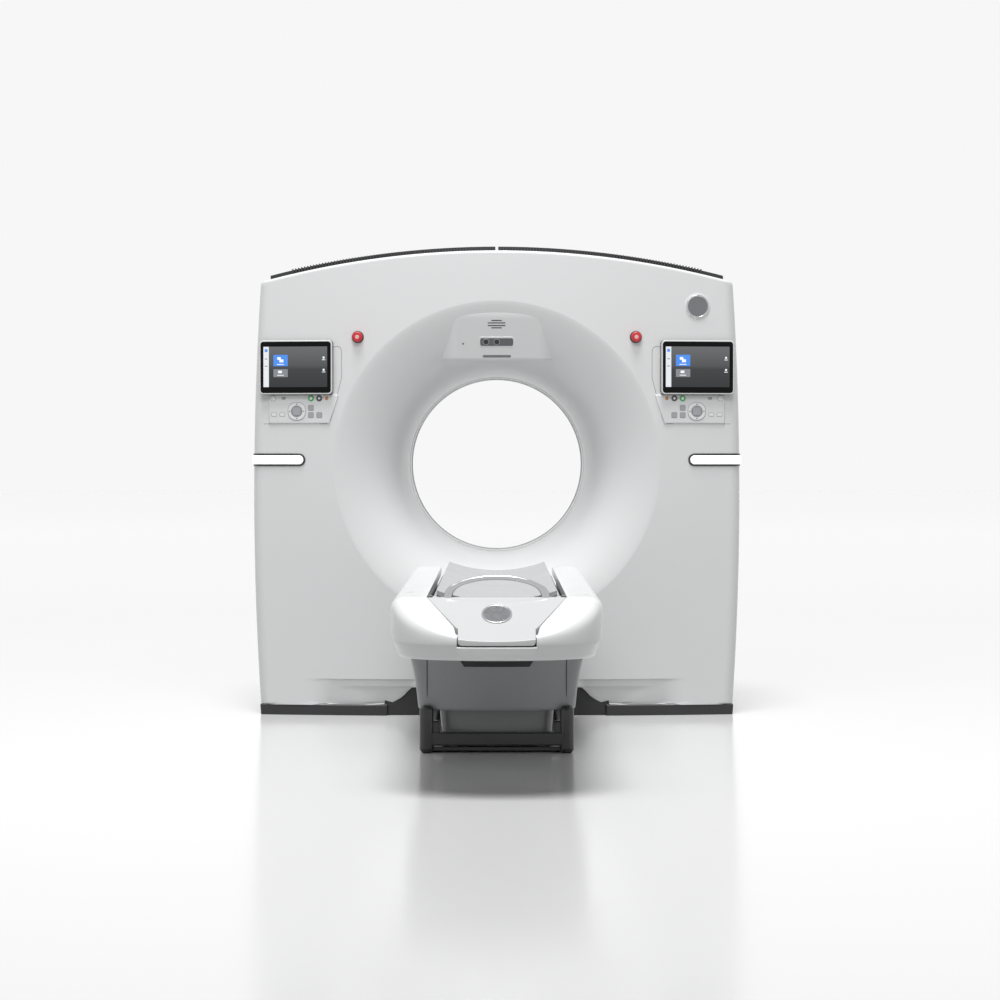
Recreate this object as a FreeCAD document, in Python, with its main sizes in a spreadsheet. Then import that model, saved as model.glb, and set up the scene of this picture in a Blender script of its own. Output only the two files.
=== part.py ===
import FreeCAD, Part
import os
import re
import Sketcher
from FreeCAD import Placement, Rotation, Vector

# A hospital CT scanner: the ring-shaped gantry and the patient table docked in front of it.
# Millimetres. +X is to the right as seen from the table, +Y runs from the table into the gantry
# and +Z is up. The origin is on the floor, straight under the point that the X-rays cross.

doc = FreeCAD.newDocument("CtScanner")

# ---------------------------------------------------------------------------------------------
# Driving dimensions
# ---------------------------------------------------------------------------------------------

SIZES = {
    # Gantry covers
    "bore_radius": 375,
    "iso_height": 1050,
    "gantry_length": 1000,
    "foot_half": 995,
    "shoulder_half": 992,
    "shoulder_height": 1815,
    "crown_height": 1942,
    "crown_radius": 3938,
    "side_radius": 13300,
    "waist_half": 1024,
    "bow_radius": 7000,
    "edge_round": 45,
    "cover_bottom": 43,
    "cover_wall": 6,
    "cover_seam": 0.8,
    "end_cover_length": 210,
    "top_cover_split": 1790,
    "flare_length": 380,
    "mouth_radius": 683,
    "flare_depth": 346.6,
    "window_half": 119.5,
    "window_wall": 3,
    "notch_height": 115,
    "notch_half": 347,
    "notch_foot_half": 458,
    "brow_half": 215,
    "brow_top": 1700,
    "brow_foot": 1490,
    "brow_depth": 62,
    "vent_height": 16,
    "vent_half": 953,
    "vent_gap": 12,
    "vent_front": 60,
    "vent_length": 140,
    # Plinth and base frame
    "plinth_inset": 3,
    "plinth_front": 460,
    "plinth_rise": 25,
    "base_half": 930,
    "base_front": 400,
    "base_plate": 25,
    "anchor_x": 820,
    "anchor_y": 340,
    "anchor_radius": 9,
    # Stator, bearing and rotor
    "stator_front": 130,
    "stator_thick": 40,
    "stator_half": 900,
    "stator_shoulder": 1500,
    "stator_cut_half": 720,
    "stator_cut_height": 1830,
    "stator_top_half": 250,
    "stator_top": 1895,
    "stator_bore": 535,
    "rotor_radius": 800,
    "rotor_wall": 20,
    "rotor_eye": 405,
    "rotor_front": 240,
    "disc_front": 40,
    "disc_thick": 30,
    "disc_hole_radius": 55,
    "disc_hole_circle": 690,
    "race_inner": 480,
    "race_split": 530,
    "race_outer": 590,
    "race_length": 55,
    "running_gap": 0.3,
    "slip_inner": 420,
    "slip_outer": 460,
    "slip_length": 160,
    "brush_half": 60,
    "brush_length": 55,
    "brush_height": 100,
    # Imaging chain
    "tube_place": 640,
    "tube_radius": 95,
    "tube_length": 270,
    "focus_place": 600,
    "collimator_half": 70,
    "collimator_height": 75,
    "collimator_length": 140,
    "detector_radius": 1050,
    "detector_depth": 60,
    "detector_angle": 52,
    "detector_length": 100,
    "side_unit_place": 480,
    "side_unit_width": 240,
    "side_unit_height": 300,
    "side_unit_length": 230,
    "fin_gap": 18,
    "fin_thick": 12,
    "fin_count": 8,
    "fin_depth": 60,
    # Drive
    "motor_x": 780,
    "motor_z": 330,
    "motor_radius": 85,
    "motor_front": 140,
    "motor_length": 240,
    "motor_foot_half": 70,
    "shaft_radius": 14,
    "pulley_radius": 80,
    "belt_thick": 4,
    "belt_width": 50,
    "belt_front": 200,
    # Fans
    "fan_x": 600,
    "fan_size": 200,
    "fan_bottom": 1745,
    "fan_depth": 40,
    "fan_bore": 94,
    "fan_wheel": 90,
    "fan_hub": 32,
    "fan_spoke": 12,
    "fan_floor": 8,
    "blade_thick": 3,
    "blade_pitch": 35,
    # Front panel pieces
    "panel_x": 823,
    "tablet_x": 837,
    "tablet_z": 1456,
    "tablet_width": 310,
    "tablet_height": 226,
    "tablet_thick": 26,
    "tablet_round": 14,
    "keypad_inner": 660,
    "keypad_waist": 698,
    "keypad_outer": 955,
    "keypad_key_top": 1342,
    "keypad_bottom": 1222,
    "keypad_thick": 6,
    "key_gap": 0.35,
    "key_travel": 1.5,
    "key_proud": 4,
    "dial_x": 836,
    "dial_z": 1272.5,
    "dial_size": 74,
    "key_radius": 12.5,
    "start_x": 775.5,
    "stop_x": 740.5,
    "key_z": 1327,
    "estop_x": 580,
    "estop_z": 1582,
    "estop_radius": 22,
    "estop_height": 16,
    "estop_stem": 8,
    "estop_lift": 7,
    "estop_travel": 4,
    "handle_inner": 800,
    "handle_z": 1070,
    "handle_height": 54,
    "handle_proud": 9,
    "handle_back": 330,
    "badge_x": 840,
    "badge_z": 1711,
    "badge_radius": 54,
    "badge_thick": 6,
    "sensor_half": 69,
    "sensor_height": 32,
    "sensor_thick": 4,
    "sensor_place": 60,
    "screw_radius": 6,
    "screw_head": 3,
    "screw_inset": 60,
    "screw_low": 200,
    "screw_high": 900,
    # Patient table
    "table_foot": 1760,
    "post_inner": 229,
    "post_outer": 283,
    "post_length": 60,
    "post_height": 175,
    "runner_height": 54,
    "base_floor": 20,
    "table_anchor_x": 256,
    "table_anchor_front": 1600,
    "table_anchor_back": 700,
    "column_y": 1250,
    "column_half": 150,
    "column_half_length": 200,
    "column_wall": 10,
    "column_step": 10.4,
    "column_height": 340,
    "mid_height": 350,
    "mid_bottom": 50,
    "inner_bottom": 80,
    "skirt_wall": 4,
    "skirt_half": 221,
    "skirt_foot_half": 200,
    "skirt_taper": 135,
    "skirt_height": 365,
    "skirt_front": 1700,
    "skirt_back": 600,
    "glide_gap": 0.5,
    "mid_skirt_bottom": 180,
    "mid_skirt_height": 235,
    "upper_skirt_half": 326,
    "upper_skirt_foot": 290,
    "upper_skirt_bottom": 157,
    "upper_skirt_knee": 360,
    "upper_skirt_front": 1775,
    "upper_skirt_back": 560,
    "cover_low": 441,
    "cover_high": 634,
    "cover_belt": 520,
    "cover_low_half": 318,
    "cover_belt_half": 344,
    "cover_top_half": 332.5,
    "cover_head": 704,
    "cover_foot": 2990,
    "cover_slope_top": 2790,
    "channel_half": 224,
    "table_wall": 6,
    "frame_half": 310,
    "beam_width": 70,
    "frame_plate": 8,
    "beam_height": 150,
    "beam_wall": 6,
    "frame_foot": 2640,
    "frame_head": 740,
    "rail_inner": 140,
    "rail_outer": 200,
    "rail_top": 524.7,
    "carriage_half": 190,
    "carriage_wall": 10,
    "carriage_foot": 1900,
    "carriage_head": 720,
    "cradle_half": 194,
    "cradle_edge": 655,
    "cradle_middle": 620,
    "cradle_thick": 32,
    "cradle_lip": 14,
    "cradle_head": 706,
    "cradle_foot": 2775,
    "cap_half": 222.5,
    "cap_neck_half": 122,
    "cap_top": 632,
    "cap_bottom": 490,
    "cap_start": 2720,
    "cap_play": 20,
    "cap_inset": 4,
    "grip_half": 160,
    "grip_height": 66,
    "grip_radius": 6,
    "grip_place": 2782,
    "lift_motor_radius": 45,
    "lift_motor_height": 160,
    "lift_motor_place": 1580,
    "drive_half": 60,
    "drive_height": 26,
    "drive_length": 260,
    "drive_place": 2300,
}

sheet = doc.addObject("Spreadsheet::Sheet", "Sizes")
for row, (alias, value) in enumerate(SIZES.items(), start=1):
    sheet.set("A%d" % row, alias)
    sheet.set("B%d" % row, str(value))
    sheet.setAlias("B%d" % row, alias)
doc.recompute()

# ---------------------------------------------------------------------------------------------
# How the document's objects are made
# ---------------------------------------------------------------------------------------------

ALONG_Y = Rotation(Vector(1, 0, 0), -90)
OUTLINE_PLANES = {"front": "XZ_Plane", "plan": "XY_Plane", "side": "YZ_Plane"}
nodes = []


def formula(text):
    """The text as an expression on the spreadsheet."""
    return re.sub(r"[a-z]\w*", lambda m: "Sizes." + m[0] if m[0] in SIZES else m[0], text)


def number(text):
    """The same text worked out, for a sketch's first guess."""
    plain = re.sub(r"[a-z]\w*", lambda m: "(%r)" % SIZES[m[0]] if m[0] in SIZES else m[0], text)
    return FreeCAD.Units.Quantity(plain).Value


def place(item, x="0", y="0", z="0"):
    """Tie an object's place to the sizes."""
    for letter, text in zip("xyz", (x, y, z)):
        item.setExpression("Placement.Base." + letter, formula(text))
    return item


def solid(kind, name, at=("0", "0", "0"), turn=Rotation(), **sizes):
    """A Part primitive with each of its sizes tied to the sheet."""
    item = doc.addObject("Part::" + kind, name)
    for field, text in sizes.items():
        item.setExpression(field, formula(text))
    item.Placement = Placement(Vector(), turn)
    return place(item, *at)


def box(name, x, y, z):
    """A box between two limits on each axis."""
    at = (x[0], y[0], z[0])
    spans = ["(%s) - (%s)" % (high, low) for low, high in (x, y, z)]
    return solid("Box", name, at, Length=spans[0], Width=spans[1], Height=spans[2])


def rod(name, x, z, start, length, radius):
    """A cylinder that runs along +Y from its start."""
    return solid("Cylinder", name, (x, start, z), ALONG_Y, Radius=radius, Height=length)


def cut(name, base, *tools):
    item = doc.addObject("Part::Cut", name)
    item.Base = base
    item.Tool = tools[0] if len(tools) == 1 else join(name + "_tools", *tools)
    return item


def join(name, *shapes):
    item = doc.addObject("Part::MultiFuse", name)
    item.Shapes = list(shapes)
    return item


def common(name, *shapes):
    item = doc.addObject("Part::MultiCommon", name)
    item.Shapes = list(shapes)
    return item


def wrap(name, shape):
    """A piece that keeps its own place inside and can be stood somewhere else as a whole."""
    item = doc.addObject("Part::Compound", name)
    item.Links = [shape]
    return item


def mirror(name, source, normal=Vector(1, 0, 0)):
    item = doc.addObject("Part::Mirroring", name)
    item.Source = source
    item.Normal = normal
    return item


def node(label, item):
    """Name a finished sub-part: the label is its file's name."""
    item.Label = label
    nodes.append(item)
    return item


def sketch_on(body, plane, offset):
    """An empty sketch on one of the body's own planes, moved along the plane's normal."""
    role = OUTLINE_PLANES[plane]
    support = next(item for item in body.Origin.OriginFeatures if item.Role == role)
    sketch = body.newObject("Sketcher::SketchObject", body.Name + "_sketch")
    sketch.AttachmentSupport = [(support, "")]
    sketch.MapMode = "FlatFace"
    sketch.setExpression("AttachmentOffset.Base.z", formula(offset))
    return sketch


def draw(sketch, points, bends):
    """A closed outline whose corners are tied to the sheet.

    bends gives the radius of each side that is an arc, by the number of its first corner. The
    outline runs anticlockwise, and an arc with a minus sign bulges inwards.
    """
    count = len(points)
    if bends:
        corners = [Vector(number(across), number(up), 0) for across, up in points]
    else:
        # Straight sides settle from any start, so a regular outline will do.
        corners = [Rotation(Vector(0, 0, 1), 360 * index / count).multVec(Vector(100, 0, 0))
                   for index in range(count)]
    for index, start in enumerate(corners):
        end = corners[(index + 1) % count]
        if index in bends:
            inward = bends[index].startswith("-")
            radius = number(bends[index].lstrip("-"))
            sketch.addGeometry(bulge(start, end, radius, inward))
        else:
            sketch.addGeometry(Part.LineSegment(start, end))
    for index in range(count):
        inward = bends.get(index, "").startswith("-")
        last_inward = bends.get(index - 1 if index else count - 1, "").startswith("-")
        first, last = (2, 1) if inward else (1, 2)
        previous_end = 1 if last_inward else 2
        sketch.addConstraint(Sketcher.Constraint("Coincident", (index - 1) % count, previous_end,
                                                 index, first))
        for direction, text, start in zip(("DistanceX", "DistanceY"), points[index],
                                          corners[index]):
            tie = Sketcher.Constraint(direction, -1, 1, index, first, start)
            constraint = sketch.addConstraint(tie)
            sketch.setExpression("Constraints[%d]" % constraint, formula(text))
        if index in bends:
            radius = bends[index].lstrip("-")
            constraint = sketch.addConstraint(Sketcher.Constraint("Radius", index, number(radius)))
            sketch.setExpression("Constraints[%d]" % constraint, formula(radius))


def bulge(start, end, radius, inward):
    """The short arc between two corners that bulges to the right of its direction, or the left."""
    chord = end - start
    right = Vector(chord.y, -chord.x, 0).normalize()
    depth = radius - (radius ** 2 - chord.Length ** 2 / 4) ** 0.5
    middle = (start + end) * 0.5 + right * (-depth if inward else depth)
    return Part.Arc(start, middle, end)


def prism(name, plane, points, low, high, bends={}):
    """A body padded from an outline between two places along the outline's normal."""
    body = doc.addObject("PartDesign::Body", name)
    away = plane == "front"
    sketch = sketch_on(body, plane, "-(%s)" % high if away else low)
    draw(sketch, points, bends)
    pad = body.newObject("PartDesign::Pad", name + "_pad")
    pad.Profile = sketch
    pad.setExpression("Length", formula("(%s) - (%s)" % (high, low)))
    return body


def turned(name, points, bends={}):
    """A body turned about its own Y axis from an outline of radius and place along the axis."""
    body = doc.addObject("PartDesign::Body", name)
    sketch = sketch_on(body, "plan", "0")
    draw(sketch, points, bends)
    revolution = body.newObject("PartDesign::Revolution", name + "_turn")
    revolution.Profile = sketch
    revolution.ReferenceAxis = (sketch, ["V_Axis"])
    revolution.Angle = 360
    return place(body, z="iso_height")


def round_edges(body, radius, wanted):
    """Fillet the edges of the body's last feature that the test picks."""
    doc.recompute()
    last = body.Tip
    picked = ["Edge%d" % index for index, edge in enumerate(body.Shape.Edges, start=1)
              if wanted(edge)]
    fillet = body.newObject("PartDesign::Fillet", body.Name + "_round")
    fillet.Base = (last, picked)
    fillet.setExpression("Radius", formula(radius))
    return body


def upright(edge):
    span = edge.BoundBox
    return span.ZLength > 1 and span.XLength < 0.01 and span.YLength < 0.01


def lengthwise(edge):
    span = edge.BoundBox
    return span.YLength > 1 and span.XLength < 0.01 and span.ZLength < 0.01


# ---------------------------------------------------------------------------------------------
# Gantry covers
# ---------------------------------------------------------------------------------------------

def plan_form(name, grow, low, high, rounding="0"):
    """The gantry's outline seen from above: bowed at the front and the rear."""
    half = "(waist_half + %s)" % grow
    bow = "(bow_radius + %s)" % grow
    end = "(gantry_length / 2 - bow_radius + sqrt(%s ^ 2 - %s ^ 2))" % (bow, half)
    points = [("-" + half, "-" + end), (half, "-" + end), (half, end), ("-" + half, end)]
    body = prism(name, "plan", points, low, high, {0: bow, 2: bow})
    if rounding == "0":
        return body
    return round_edges(body, rounding, upright)


def gantry_form(name, grow, bottom):
    """The gantry's outer form, grown by an amount, down to a given bottom."""
    foot = "(foot_half + %s)" % grow
    shoulder = "(shoulder_half + %s)" % grow
    top = "shoulder_height + " + grow
    points = [("-" + foot, bottom), (foot, bottom), (shoulder, top), ("-" + shoulder, top)]
    bends = {1: "side_radius", 2: "crown_radius", 3: "side_radius"}
    face = prism(name + "_face", "front", points, "-gantry_length", "gantry_length", bends)
    plan = plan_form(name + "_plan", grow, "-1", "crown_height * 1.1", "edge_round + " + grow)
    return common(name, face, plan)


THROAT = "(-gantry_length / 2 + flare_length)"
REACH = "(mouth_radius - bore_radius)"
LIP = THROAT + " - flare_depth"
FLARE_ARC = "(%s / 2 + flare_depth ^ 2 / (2 * %s))" % (REACH, REACH)


def flare_void(name):
    """The trumpet-shaped way into the bore: an arc from the throat, then a lip to the face."""
    front = "-gantry_length / 2 - 1"
    points = [("0", front), ("mouth_radius", front), ("mouth_radius", LIP),
              ("bore_radius", THROAT), ("0", THROAT)]
    return turned(name, points, {2: "-" + FLARE_ARC})


def flare_blank(name):
    """The same with its wall left on, and a rim that joins it to the front wall."""
    front = "-gantry_length / 2"
    arc = "(%s - cover_wall)" % FLARE_ARC
    ledge = LIP + " + cover_wall * 2"
    points = [("0", front), ("mouth_radius + cover_wall", front),
              ("mouth_radius + cover_wall", ledge), ("mouth_radius", ledge),
              ("bore_radius + cover_wall", THROAT), ("0", THROAT)]
    return turned(name, points, {3: "-" + arc})


def front_at(across):
    """Where the bowed front face lies at a place across the gantry."""
    return "(bow_radius - gantry_length / 2 - sqrt(bow_radius ^ 2 - (%s) ^ 2))" % across


def on_front(item, across):
    """Stand a piece that was made about the origin on the bowed front face, square to it."""
    item.Placement.Rotation = Rotation(Vector(0, 0, 1), 1)
    item.setExpression("Placement.Base.x", formula(across))
    item.setExpression("Placement.Base.y", formula(front_at(across)))
    item.setExpression("Placement.Rotation.Angle", formula("asin(%s / bow_radius)" % across))
    return item


outer_form = gantry_form("outer_form", "0", "cover_bottom")
inner_form = gantry_form("inner_form", "-cover_wall", "0")
cover_shell = cut("cover_shell", outer_form, inner_form)

FRONT = "-gantry_length / 2"
BACK = "gantry_length / 2"
FRONT_SEAM = "-gantry_length / 2 + end_cover_length"
SIDE_REACH = "foot_half * 2"


def end_cover(name):
    """A cover over one end of the gantry, with its flare moulded in."""
    slab = box(name + "_slab", ("-" + SIDE_REACH, SIDE_REACH), (FRONT + " * 2", FRONT_SEAM),
               ("0", "crown_height * 2"))
    flare = flare_blank(name + "_flare")
    hollow = cut(name + "_hollow", inner_form, flare)
    whole = common(name + "_whole", outer_form, join(name + "_zone", slab, flare))
    return cut(name + "_open", whole, hollow, flare_void(name + "_void"))


# The brow is the flatter fascia moulded into the top of the front flare.
brow_side = [(FRONT + " + 6", "brow_top"), (FRONT + " + brow_depth", "brow_foot"),
             ("-gantry_length / 2 + flare_length", "brow_foot"),
             ("-gantry_length / 2 + flare_length", "brow_top")]
brow_prism = prism("brow_prism", "side", brow_side, "-brow_half", "brow_half")
brow = common("brow", brow_prism, flare_blank("brow_flare"))

notch = prism("notch", "front",
              [("-notch_foot_half", "0"), ("notch_foot_half", "0"),
               ("notch_foot_half", "cover_bottom"), ("notch_half", "notch_height"),
               ("-notch_half", "notch_height"), ("-notch_foot_half", "cover_bottom")],
              FRONT + " - 10", FRONT_SEAM + " - 10")
stem_holes = [on_front(wrap("stem_way_" + side,
                            rod("stem_hole_" + side, "0", "estop_z", "-1", "cover_wall * 4",
                                "estop_stem + key_gap")), sign + "estop_x")
              for side, sign in (("left", "-"), ("right", ""))]
front_shell = cut("front_shell", end_cover("front_end"), notch, *stem_holes)
node("front_cover", join("front_cover_brow", front_shell, brow))
node("rear_cover", mirror("rear_cover_mirror", end_cover("rear_end"), Vector(0, 1, 0)))

MIDDLE = ("-gantry_length / 2 + end_cover_length + cover_seam",
          "gantry_length / 2 - end_cover_length - cover_seam")
for side, reach in (("left", ("-" + SIDE_REACH, "0")), ("right", ("0", SIDE_REACH))):
    zone = box("side_zone_" + side, reach, MIDDLE, ("0", "top_cover_split"))
    node("side_cover_" + side, common("side_shell_" + side, cover_shell, zone))
top_zone = box("top_zone", ("-" + SIDE_REACH, SIDE_REACH), MIDDLE,
               ("top_cover_split + cover_seam", "crown_height * 2"))
node("top_cover", common("top_shell", cover_shell, top_zone))

# Trim that lies on the covers follows their form, a hair above it.
seat_form = gantry_form("seat_form", "running_gap", "cover_bottom")
vent_form = gantry_form("vent_form", "vent_height", "cover_bottom")
vent_plan = plan_form("vent_plan", "-vent_front", "0", "crown_height * 1.1")
vent_shell = cut("vent_shell", vent_form, seat_form)
for side, reach in (("left", ("-vent_half", "-vent_gap / 2")),
                    ("right", ("vent_gap / 2", "vent_half"))):
    zone = box("vent_zone_" + side, reach, (FRONT, FRONT + " + vent_front + vent_length"),
               ("iso_height", "crown_height * 2"))
    node("top_vent_" + side, common("vent_" + side, vent_shell, vent_plan, zone))

window_outer = rod("window_outer", "0", "iso_height", "-window_half", "window_half * 2",
                   "bore_radius + window_wall")
window_inner = rod("window_inner", "0", "iso_height", "-window_half", "window_half * 2",
                   "bore_radius")
node("scan_window", cut("scan_window_ring", window_outer, window_inner))

# ---------------------------------------------------------------------------------------------
# Gantry base and stator
# ---------------------------------------------------------------------------------------------

band = common("band", gantry_form("band_form", "-plinth_inset", "0"),
              box("band_zone", ("-" + SIDE_REACH, SIDE_REACH), (FRONT, BACK),
                  ("0", "cover_bottom")))
rise = box("rise", ("-notch_foot_half - plinth_rise / 2", "notch_foot_half + plinth_rise / 2"),
           ("-plinth_front", "-plinth_front + plinth_rise"), ("0", "notch_height + 5"))
toe_space = box("toe_space", ("-notch_foot_half", "notch_foot_half"), (FRONT + " - 5",
                "-plinth_front"), ("-1", "cover_bottom + 1"))
base_room = box("base_room", ("-base_half - running_gap", "base_half + running_gap"),
                ("-base_front - running_gap", "base_front + running_gap"),
                ("-1", "cover_bottom + 1"))
node("base_plinth", cut("base_plinth_band", join("plinth_blank", band, rise), toe_space,
                        base_room))

base_slab = box("base_slab", ("-base_half", "base_half"), ("-base_front", "base_front"),
                ("0", "base_plate"))
anchor_holes = [solid("Cylinder", "anchor_hole_%d" % index,
                      (across + "anchor_x", along + "anchor_y", "-1"),
                      Radius="anchor_radius", Height="base_plate + 2")
                for index, (across, along) in enumerate((("-", "-"), ("", "-"),
                                                         ("-", ""), ("", "")))]
node("gantry_base_frame", cut("base_frame_plate", base_slab, *anchor_holes))

STATOR_BACK = "stator_front + stator_thick"
stator_points = [("-stator_half", "base_plate"), ("stator_half", "base_plate"),
                 ("stator_half", "stator_shoulder"), ("stator_cut_half", "stator_cut_height"),
                 ("stator_top_half", "stator_top"), ("-stator_top_half", "stator_top"),
                 ("-stator_cut_half", "stator_cut_height"), ("-stator_half", "stator_shoulder")]
stator_plate = prism("stator_plate", "front", stator_points, "stator_front", STATOR_BACK)
stator_hole = rod("stator_hole", "0", "iso_height", "stator_front - 1", "stator_thick + 2",
                  "stator_bore")
node("stator_frame", cut("stator_ring", stator_plate, stator_hole))

DISC_BACK = "disc_front + disc_thick"


def ring(name, inner, outer, start, length):
    """A plain ring about the bore's axis."""
    rim = rod(name + "_rim", "0", "iso_height", start, length, outer)
    eye = rod(name + "_eye", "0", "iso_height", start, length, inner)
    return cut(name + "_ring", rim, eye)


node("bearing_outer_race", ring("outer_race", "race_split + running_gap / 10", "race_outer",
                                "stator_front - race_length", "race_length"))
node("bearing_inner_race", ring("inner_race", "race_inner", "race_split",
                                DISC_BACK, "race_length"))
node("slip_ring", ring("slip", "slip_inner", "slip_outer", DISC_BACK, "slip_length"))
node("brush_block", box("brushes", ("-brush_half", "brush_half"),
                        (STATOR_BACK, STATOR_BACK + " + brush_length"),
                        ("iso_height - slip_outer - running_gap - brush_height",
                         "iso_height - slip_outer - running_gap")))

# ---------------------------------------------------------------------------------------------
# Rotor and what it carries
# ---------------------------------------------------------------------------------------------

rotor_points = [("rotor_eye", "disc_front"), ("rotor_radius - rotor_wall", "disc_front"),
                ("rotor_radius - rotor_wall", "-rotor_front"), ("rotor_radius", "-rotor_front"),
                ("rotor_radius", DISC_BACK), ("rotor_eye", DISC_BACK)]
rotor_blank = turned("rotor_blank", rotor_points)
light_holes = []
for index in range(12):
    hole = solid("Cylinder", "light_hole_%d" % index, turn=ALONG_Y, Radius="disc_hole_radius",
                 Height="disc_thick + 2")
    angle = "%d + 15" % (index * 30)
    place(hole, "disc_hole_circle * cos(%s)" % angle, "disc_front - 1",
          "iso_height + disc_hole_circle * sin(%s)" % angle)
    light_holes.append(hole)
node("rotor_drum", cut("rotor_drum_disc", rotor_blank, *light_holes))

TUBE_Z = "iso_height + tube_place"
node("xray_tube", rod("tube_housing", "0", TUBE_Z, "disc_front - tube_length", "tube_length",
                      "tube_radius"))
node("collimator", box("collimator_box", ("-collimator_half", "collimator_half"),
                       ("disc_front - collimator_length", "disc_front"),
                       (TUBE_Z + " - tube_radius - collimator_height",
                        TUBE_Z + " - tube_radius")))


detector_outer = rod("detector_outer", "0", "iso_height + focus_place",
                     "disc_front - detector_length", "detector_length",
                     "detector_radius + detector_depth")
detector_inner = rod("detector_inner", "0", "iso_height + focus_place",
                     "disc_front - detector_length", "detector_length", "detector_radius")
FAN_EDGE = "(detector_radius * 1.3 * tan(detector_angle / 2))"
fan_wedge = prism("fan_wedge", "front",
                  [("0", "0"), ("-" + FAN_EDGE, "-detector_radius * 1.3"),
                   (FAN_EDGE, "-detector_radius * 1.3")],
                  "disc_front - detector_length", "disc_front")
place(fan_wedge, z="iso_height + focus_place")
detector_ring = cut("detector_ring", detector_outer, detector_inner)
node("detector_arc", common("detector_arc_part", detector_ring, fan_wedge))

UNIT_Y = ("disc_front - side_unit_length", "disc_front")
UNIT_Z = ("iso_height - side_unit_height / 2", "iso_height + side_unit_height / 2")
node("hv_generator", box("hv_case", ("-side_unit_place - side_unit_width", "-side_unit_place"),
                         UNIT_Y, UNIT_Z))
exchanger = box("exchanger", ("side_unit_place", "side_unit_place + side_unit_width"),
                UNIT_Y, UNIT_Z)
slots = []
for index in range(SIZES["fin_count"]):
    low = "iso_height - side_unit_height / 2 + fin_thick + %d * (fin_gap + fin_thick)" % index
    slots.append(box("fin_slot_%d" % index,
                     ("side_unit_place - 1", "side_unit_place + side_unit_width + 1"),
                     ("disc_front - side_unit_length - 1",
                      "disc_front - side_unit_length + fin_depth"), (low, low + " + fin_gap")))
node("heat_exchanger", cut("exchanger_fins", exchanger, *slots))

# ---------------------------------------------------------------------------------------------
# Rotor drive
# ---------------------------------------------------------------------------------------------

motor_can = rod("motor_can", "motor_x", "motor_z", "-motor_front", "motor_length",
                "motor_radius")
motor_shaft = rod("motor_shaft", "motor_x", "motor_z", "-belt_front",
                  "belt_front - motor_front", "shaft_radius")
motor_foot = box("motor_foot", ("motor_x - motor_foot_half", "motor_x + motor_foot_half"),
                 ("-motor_front", "-motor_front + motor_length"), ("base_plate", "motor_z"))
node("drive_motor", join("drive_motor_whole", motor_can, motor_shaft, motor_foot))

pulley_wheel = rod("pulley_wheel", "motor_x", "motor_z", "-belt_front", "belt_width",
                   "pulley_radius")
pulley_bore = rod("pulley_bore", "motor_x", "motor_z", "-belt_front", "belt_width",
                  "shaft_radius + running_gap")
node("drive_pulley", cut("drive_pulley_wheel", pulley_wheel, pulley_bore))


def belt_body(name, grow):
    """The space inside a belt that runs tight round the rotor and the pulley."""
    big = "(rotor_radius + running_gap + %s)" % grow
    small = "(pulley_radius + running_gap + %s)" % grow
    apart = "sqrt(motor_x ^ 2 + (iso_height - motor_z) ^ 2)"
    across = "(motor_x / %s)" % apart
    down = "((iso_height - motor_z) / %s)" % apart
    closing = "((rotor_radius - pulley_radius) / %s)" % apart
    square = "sqrt(1 - %s ^ 2)" % closing
    corners = []
    for centre_x, centre_z, radius, side in (("0", "iso_height", big, "-"),
                                             ("motor_x", "motor_z", small, "-"),
                                             ("motor_x", "motor_z", small, "+"),
                                             ("0", "iso_height", big, "+")):
        # The run touches each circle where the radius leans by the circles' difference.
        lean_x = "(%s * %s %s %s * %s)" % (closing, across, side, square, down)
        lean_z = "(%s * -%s %s %s * %s)" % (closing, down, side, square, across)
        corners.append(("%s + %s * %s" % (centre_x, radius, lean_x),
                        "%s + %s * %s" % (centre_z, radius, lean_z)))
    band = prism(name + "_band", "front", corners, "-belt_front", "-belt_front + belt_width")
    wheel = rod(name + "_wheel", "0", "iso_height", "-belt_front", "belt_width", big)
    end = rod(name + "_end", "motor_x", "motor_z", "-belt_front", "belt_width", small)
    return join(name, band, wheel, end)


node("drive_belt", cut("drive_belt_loop", belt_body("belt_outside", "belt_thick"),
                       belt_body("belt_inside", "0")))

# ---------------------------------------------------------------------------------------------
# Fans under the top vents
# ---------------------------------------------------------------------------------------------

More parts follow.
